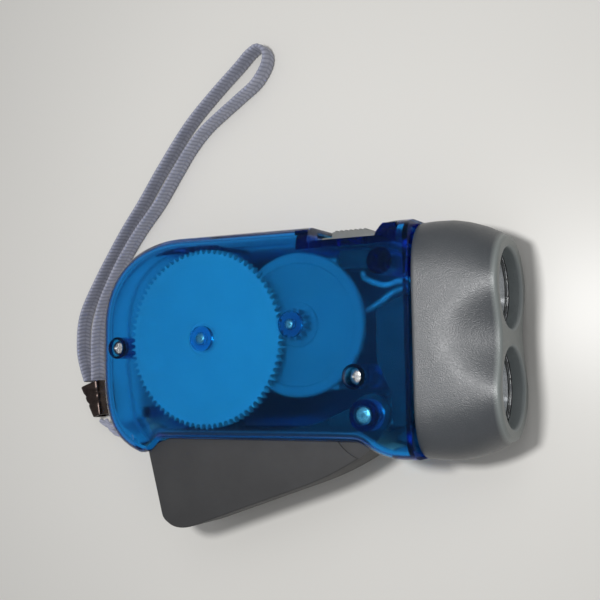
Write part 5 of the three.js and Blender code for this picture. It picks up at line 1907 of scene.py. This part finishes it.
@dataclass
class LeverLock:
    """The lever lock near the tail: a ribbed grip, a stem and a hook."""

    grip_x: Flat = (-10.8, 0.2)
    grip_y: Flat = (23.8, 25.2)
    grip_z: Flat = (6.5, 17.5)
    ribs: int = 7
    rib_deep: float = 0.4
    stem_x: Flat = (-9.8, -7.4)
    stem_z: Flat = (10.0, 11.6)
    hook_x: float = -17.0
    hook_y: Flat = (-19.0, -17.0)

    def profile(self) -> list[Flat]:
        """The grip seen from the side, with its ribs."""
        low, high = self.grip_x
        points: list[Flat] = [(low + 0.2, self.grip_y[0]), (high - 0.2, self.grip_y[0])]
        points += [(high, self.grip_y[0] + 0.25), (high - 0.15, self.grip_y[1] - 0.45)]
        pitch = (high - low - 1.2) / self.ribs
        for k in reversed(range(self.ribs)):
            start = low + 0.6 + k * pitch
            for share, deep in ((0.93, 1.0), (0.7, 0.15), (0.5, 0.0), (0.3, 0.15), (0.07, 1.0)):
                points.append((start + share * pitch, self.grip_y[1] - deep * self.rib_deep))
        points += [(low + 0.15, self.grip_y[1] - 0.45), (low, self.grip_y[0] + 0.25)]
        return points

    def build(self) -> None:
        """Makes the lock."""
        grip = plate("grip", self.profile(), *self.grip_z, edge=0.3, steps=3)
        stem = plate("stem", [
            (self.stem_x[1], self.grip_y[0] + 0.4), (self.stem_x[0], self.grip_y[0] + 0.4),
            (self.stem_x[0], self.hook_y[1]), (self.hook_x + 0.5, self.hook_y[1]), (self.hook_x, self.hook_y[1] - 0.5),
            (self.hook_x, self.hook_y[0] + 0.3), (self.hook_x + 0.3, self.hook_y[0]), (self.stem_x[1], self.hook_y[0]),
        ], *self.stem_z, edge=0.15, steps=2)
        stand_for(combine(grip, Operation.JOIN, stem), "lever_lock", SWITCH_GREY, "lock")


# Gear train


@dataclass
class GearTrain:
    """The big drive gear, its pinion and pawls, and the flywheel with its magnet."""

    gear_z: Flat = (19, 21)
    gear_tip: float = 21.5
    gear_root: float = 20.4
    gear_teeth: int = 84
    gear_phase: float = 5.9
    tooth_share: float = 0.35
    relief: float = 18.8
    relief_deep: float = 0.5
    cup_radius: float = 6.8
    cup_bore: float = 5.8
    cup_bottom: float = 13.6
    cup_roof: float = 17.9
    gear_bore: float = 1.5
    rotor_at: Flat = (24.1215, 2.4927)
    disc_radius: float = 16.6
    disc_z: Flat = (16.5, 18.5)
    disc_dish: float = 14.4
    wheel_teeth: int = 13
    wheel_module: float = 0.5
    wheel_top: float = 21.0
    wheel_phase: float = 0.0
    spindle: float = 2.3
    spindle_bottom: float = 6.2
    rotor_bore: float = 1.3
    magnet_radius: float = 5.0
    magnet_bore: float = 2.6
    magnet_z: Flat = (6.4, 14.2)

    def gear(self) -> bpy.types.Object:
        """The drive gear with its rim, raised ring, hub and clutch cup."""
        outline = gear_outline((0, 0), self.gear_tip, self.gear_root, self.gear_teeth, self.gear_phase, self.tooth_share)
        rings = []
        low, high = self.gear_z
        for z, inset in ((low, 0.12), (low + 0.14, 0.0), (high - 0.14, 0.0), (high, 0.12)):
            rings.append([(x * (1 - inset / self.gear_tip), y * (1 - inset / self.gear_tip), z) for x, y in outline])
        gear = loft("gear", rings)
        cup = turned("cup", [
            (self.cup_bottom, self.cup_radius - 0.2), (self.cup_bottom + 0.2, self.cup_radius),
            (low + 0.3, self.cup_radius),
        ], (0, 0), sides=72)
        gear = combine(gear, Operation.JOIN, cup)
        top_groove = turned("groove", [
            (high - 0.12, 17.6), (high + 0.4, 17.9), (high + 0.4, 18.9), (high - 0.12, 19.2), (high - 0.12, 17.6),
        ], (0, 0), sides=120)
        hub_groove = turned("groove", [
            (high - 0.15, 3.4), (high + 0.4, 3.2), (high + 0.4, 4.4), (high - 0.15, 4.2), (high - 0.15, 3.4),
        ], (0, 0), sides=72)
        web = turned("web", [
            (low - 0.5, self.relief), (low + self.relief_deep, self.relief - 0.2),
            (low + self.relief_deep, self.cup_radius + 0.3), (low - 0.5, self.cup_radius + 0.1),
            (low - 0.5, self.relief),
        ], (0, 0), sides=120)
        bore = turned("bore", [(self.cup_bottom - 1, self.gear_bore), (high + 1, self.gear_bore)], (0, 0), sides=40)
        inside = turned(
            "inside", [(self.cup_bottom - 1, self.cup_bore), (self.cup_roof, self.cup_bore)], (0, 0), sides=72
        )
        return combine(gear, Operation.CUT, top_groove, hub_groove, web, bore, inside)

    def flywheel(self) -> bpy.types.Object:
        """The milky disc with its rolled rim, small pinion and spindle."""
        low, high = self.disc_z
        x, y = self.rotor_at
        profile = [
            (self.spindle_bottom, self.spindle - 0.2), (self.spindle_bottom + 0.2, self.spindle), (low, self.spindle),
            (low, self.disc_dish - 1.2), (low - 0.0, self.disc_radius - 0.35), (low + 0.35, self.disc_radius),
            (high - 0.35, self.disc_radius), (high, self.disc_radius - 0.35), (high, self.disc_dish),
            (high - 0.5, self.disc_dish - 0.3), (high - 0.5, 5.2), (high - 0.1, 5.0), (high - 0.1, 2.0),
        ]
        disc = turned("disc", profile, (x, y), sides=128)
        pitch_radius = self.wheel_module * self.wheel_teeth / 2
        tip = pitch_radius + self.wheel_module * 0.9
        root = pitch_radius - self.wheel_module * 1.2
        bearing = math.degrees(math.atan2(-y, -x))
        pitch = 360 / self.wheel_teeth
        outline = gear_outline((x, y), tip, root, self.wheel_teeth, bearing + pitch / 2 + self.wheel_phase, 0.42)
        wheel = plate("wheel", outline, high - 0.4, self.wheel_top)
        bore = turned(
            "bore", [(self.spindle_bottom - 1, self.rotor_bore), (self.wheel_top + 1, self.rotor_bore)], (x, y), sides=40
        )
        return combine(combine(disc, Operation.JOIN, wheel), Operation.CUT, bore)

    def magnet(self) -> bpy.types.Object:
        """The ring magnet with chamfered rims."""
        low, high = self.magnet_z
        outer, inner = self.magnet_radius, self.magnet_bore
        profile = [
            (low, inner + 0.2), (low, outer - 0.4), (low + 0.4, outer), (high - 0.4, outer), (high, outer - 0.4),
            (high, inner + 0.2), (high - 0.2, inner), (low + 0.2, inner), (low, inner + 0.2),
        ]
        return turned("magnet", profile, self.rotor_at, sides=72)

    def build(self) -> None:
        """Makes the train."""
        stand_for(self.gear(), "drive_gear", GEAR_NYLON, "gear")
        stand_for(self.flywheel(), "flywheel", DISC_NYLON, "rotor")
        stand_for(self.magnet(), "ring_magnet", FERRITE, "rotor")
        carry("drive_pinion", NYLON)
        carry("clutch_pawl_1", STEEL)
        carry("clutch_pawl_2", STEEL)


# Generator, cells and leads


@dataclass
class Generator:
    """Two wound coils on iron cores in their bobbin."""

    rotor_at: Flat = (24.1215, 2.4927)
    coil_y: Flat = (9.4, 15.1)
    coil_half: Flat = (8.0, 5.0)
    middle_z: float = 9.85
    wire: float = 0.5
    wire_pitch: float = 0.53
    corner: float = 1.6

    def coil(self, side: int) -> bpy.types.Object:
        """One coil: a solid body under a layer of turns laid side by side.

        Args:
            side: 1 for the upper, -1 for the lower.

        Returns:
            The coil.
        """
        x, y = self.rotor_at
        near, far = self.coil_y
        low = near if side > 0 else 2 * y - far
        high = far if side > 0 else 2 * y - near
        half_x, half_z = self.coil_half
        reach_x, reach_z = half_x - self.wire / 2, half_z - self.wire / 2
        turns = int((high - low - self.wire) / self.wire_pitch)
        first = (low + high) / 2 - turns * self.wire_pitch / 2
        corner = self.corner
        loop: list[Flat] = []
        for cx, cz, start in ((1, 1, 0), (-1, 1, 90), (-1, -1, 180), (1, -1, 270)):
            centre = (cx * (reach_x - corner), cz * (reach_z - corner))
            loop += ring_points(centre, corner, start, start + 90, 4)
        points = []
        for k in range(turns * len(loop) + 1):
            px, pz = loop[k % len(loop)]
            points.append(Vector((x + px, first + self.wire_pitch * k / len(loop), self.middle_z + pz)))
        wound = round_wire("wound", points, self.wire / 2)
        levels = [[(x + px * 0.985, place, self.middle_z + pz * 0.985) for px, pz in loop]
                  for place in (low + 0.2, high - 0.2)]
        body = loft("body", levels)
        select_only(body)
        wound.select_set(True)
        bpy.context.view_layer.objects.active = wound
        bpy.ops.object.join()
        return bpy.context.object

    def build(self) -> None:
        """Makes both coils and keeps the rest."""
        stand_for(self.coil(1), "upper_coil", COPPER, "case")
        stand_for(self.coil(-1), "lower_coil", COPPER, "case")
        carry("stator_bobbin", NYLON)
        carry("upper_core", STEEL)
        carry("lower_core", STEEL)


@dataclass
class CellStack:
    """Two coin cells with rolled rims on their tray."""

    at: Flat = (-14.0, 8.0)
    radius: float = 10.0
    low: Flat = (3.2, 6.2)
    high: Flat = (6.5, 9.5)

    def cell(self, name: str, z: Flat) -> None:
        """One cell: a can with a rolled rim round a raised cap.

        Args:
            name: The node's name.
            z: Its lower and upper face.
        """
        low, high = z
        radius = self.radius
        profile = [
            (low, radius - 0.7), (low + 0.2, radius - 0.2), (low + 0.5, radius), (high - 0.7, radius),
            (high - 0.35, radius - 0.12), (high - 0.25, radius - 0.4), (high - 0.3, radius - 0.9),
            (high - 0.5, radius - 1.0), (high - 0.2, radius - 1.25), (high, radius - 1.6), (high, radius - 4.0),
            (high - 0.06, radius - 4.1), (high - 0.06, 0.4),
        ]
        stand_for(turned(name, profile, self.at, sides=96), name, CELL_STEEL, "case")

    def build(self) -> None:
        """Makes the stack."""
        self.cell("coin_cell_1", self.low)
        self.cell("coin_cell_2", self.high)
        carry("cell_tray", BLACK)


@dataclass
class Leads:
    """The insulated wires and the lever's wound spring."""

    thick: float = 1.2
    lamp: tuple[Solid, ...] = (
        (35, 4.4, 10.5), (38, 5.2, 11.4), (41.5, 6.6, 12), (45, 8.8, 12.2), (49, 10.4, 12), (53, 10.8, 12),
        (57.2, 10.8, 12),
    )
    switch: tuple[Solid, ...] = (
        (38, 14.2, 12), (38.4, 13, 12.2), (41, 11.8, 14), (45, 10.6, 15.4), (49.5, 11.6, 15.4), (53.6, 12.4, 15.4),
        (57.2, 12.4, 15.4),
    )
    cell: tuple[Solid, ...] = (
        (-2.2, 9.4, 3.4), (1.4, 10.4, 3), (6, 12.4, 2.7), (11, 12, 2.7), (15, 8.8, 2.7), (18, 6.4, 2.7),
        (21.4, 7.6, 2.7),
    )

    pivot: Flat = (42.1, -18.0)
    spring_radius: float = 3.0
    spring_wire: float = 0.9
    spring_pitch: float = 1.4
    spring_turns: float = 5.625
    spring_steps: int = 24
    spring_z: float = 8.5
    spring_leg_angle: float = 218.0
    spring_leg: float = 10.0
    spring_case_leg: float = 4.4
    spring_bend: tuple[Solid, Solid] = ((42.6, -21.4, 8.5), (37.4, -25.5, 8.5))

    def lead(self, name: str, route: Sequence[Solid], finish: Finish) -> None:
        """One lead.

        Args:
            name: The node's name.
            route: The points that it passes.
            finish: Its sleeve's finish.
        """
        wire = round_wire(name, smooth_route(route, 0.4), self.thick / 2)
        stand_for(wire, name, finish, "case")

    def spring(self) -> bpy.types.Object:
        """The lever's torsion spring with its two legs."""
        count = round(self.spring_turns * self.spring_steps)
        first = self.spring_leg_angle + 90
        points = []
        for k in range(count + 1):
            share = k / self.spring_steps
            x, y = ring_points(self.pivot, self.spring_radius, first + 360 * share, 0, 0)[0]
            points.append(Vector((x, y, self.spring_z + self.spring_pitch * share)))
        away = math.radians(self.spring_leg_angle)
        leg = Vector((math.cos(away), math.sin(away), 0)) * self.spring_leg
        turn = math.radians(first + 360 * self.spring_turns + 90)
        case_leg = Vector((math.cos(turn), math.sin(turn), 0)) * self.spring_case_leg
        points = [points[0] + leg, points[0] + leg / 2, *points, points[-1] + case_leg]
        return round_wire("spring", points, self.spring_wire / 2)

    def build(self) -> None:
        """Makes the spring and the leads."""
        spring = self.spring()
        stand_for(spring, "lever_spring", STEEL, "")
        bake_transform(spring)
        self.lead("lamp_lead", self.lamp, LEAD_LIGHT)
        self.lead("switch_lead", self.switch, LEAD_LIGHT)
        self.lead("cell_lead", self.cell, LEAD_RED)


# The whole scene


def main() -> None:
    """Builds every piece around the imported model."""
    logging.basicConfig(level=logging.INFO, format="%(message)s")
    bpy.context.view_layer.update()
    studio = Studio()
    studio.camera()
    WristStrap().build()

    head, fittings = Head(), Fittings()
    Case().build(head, fittings)
    head.build()
    fittings.build()
    SqueezeLever().build()
    ThumbSwitch().build()
    LeverLock().build()
    GearTrain().build()
    Generator().build()
    CellStack().build()
    Leads().build()

    studio.floor()
    studio.light()


if __name__ == "__main__":
    main()
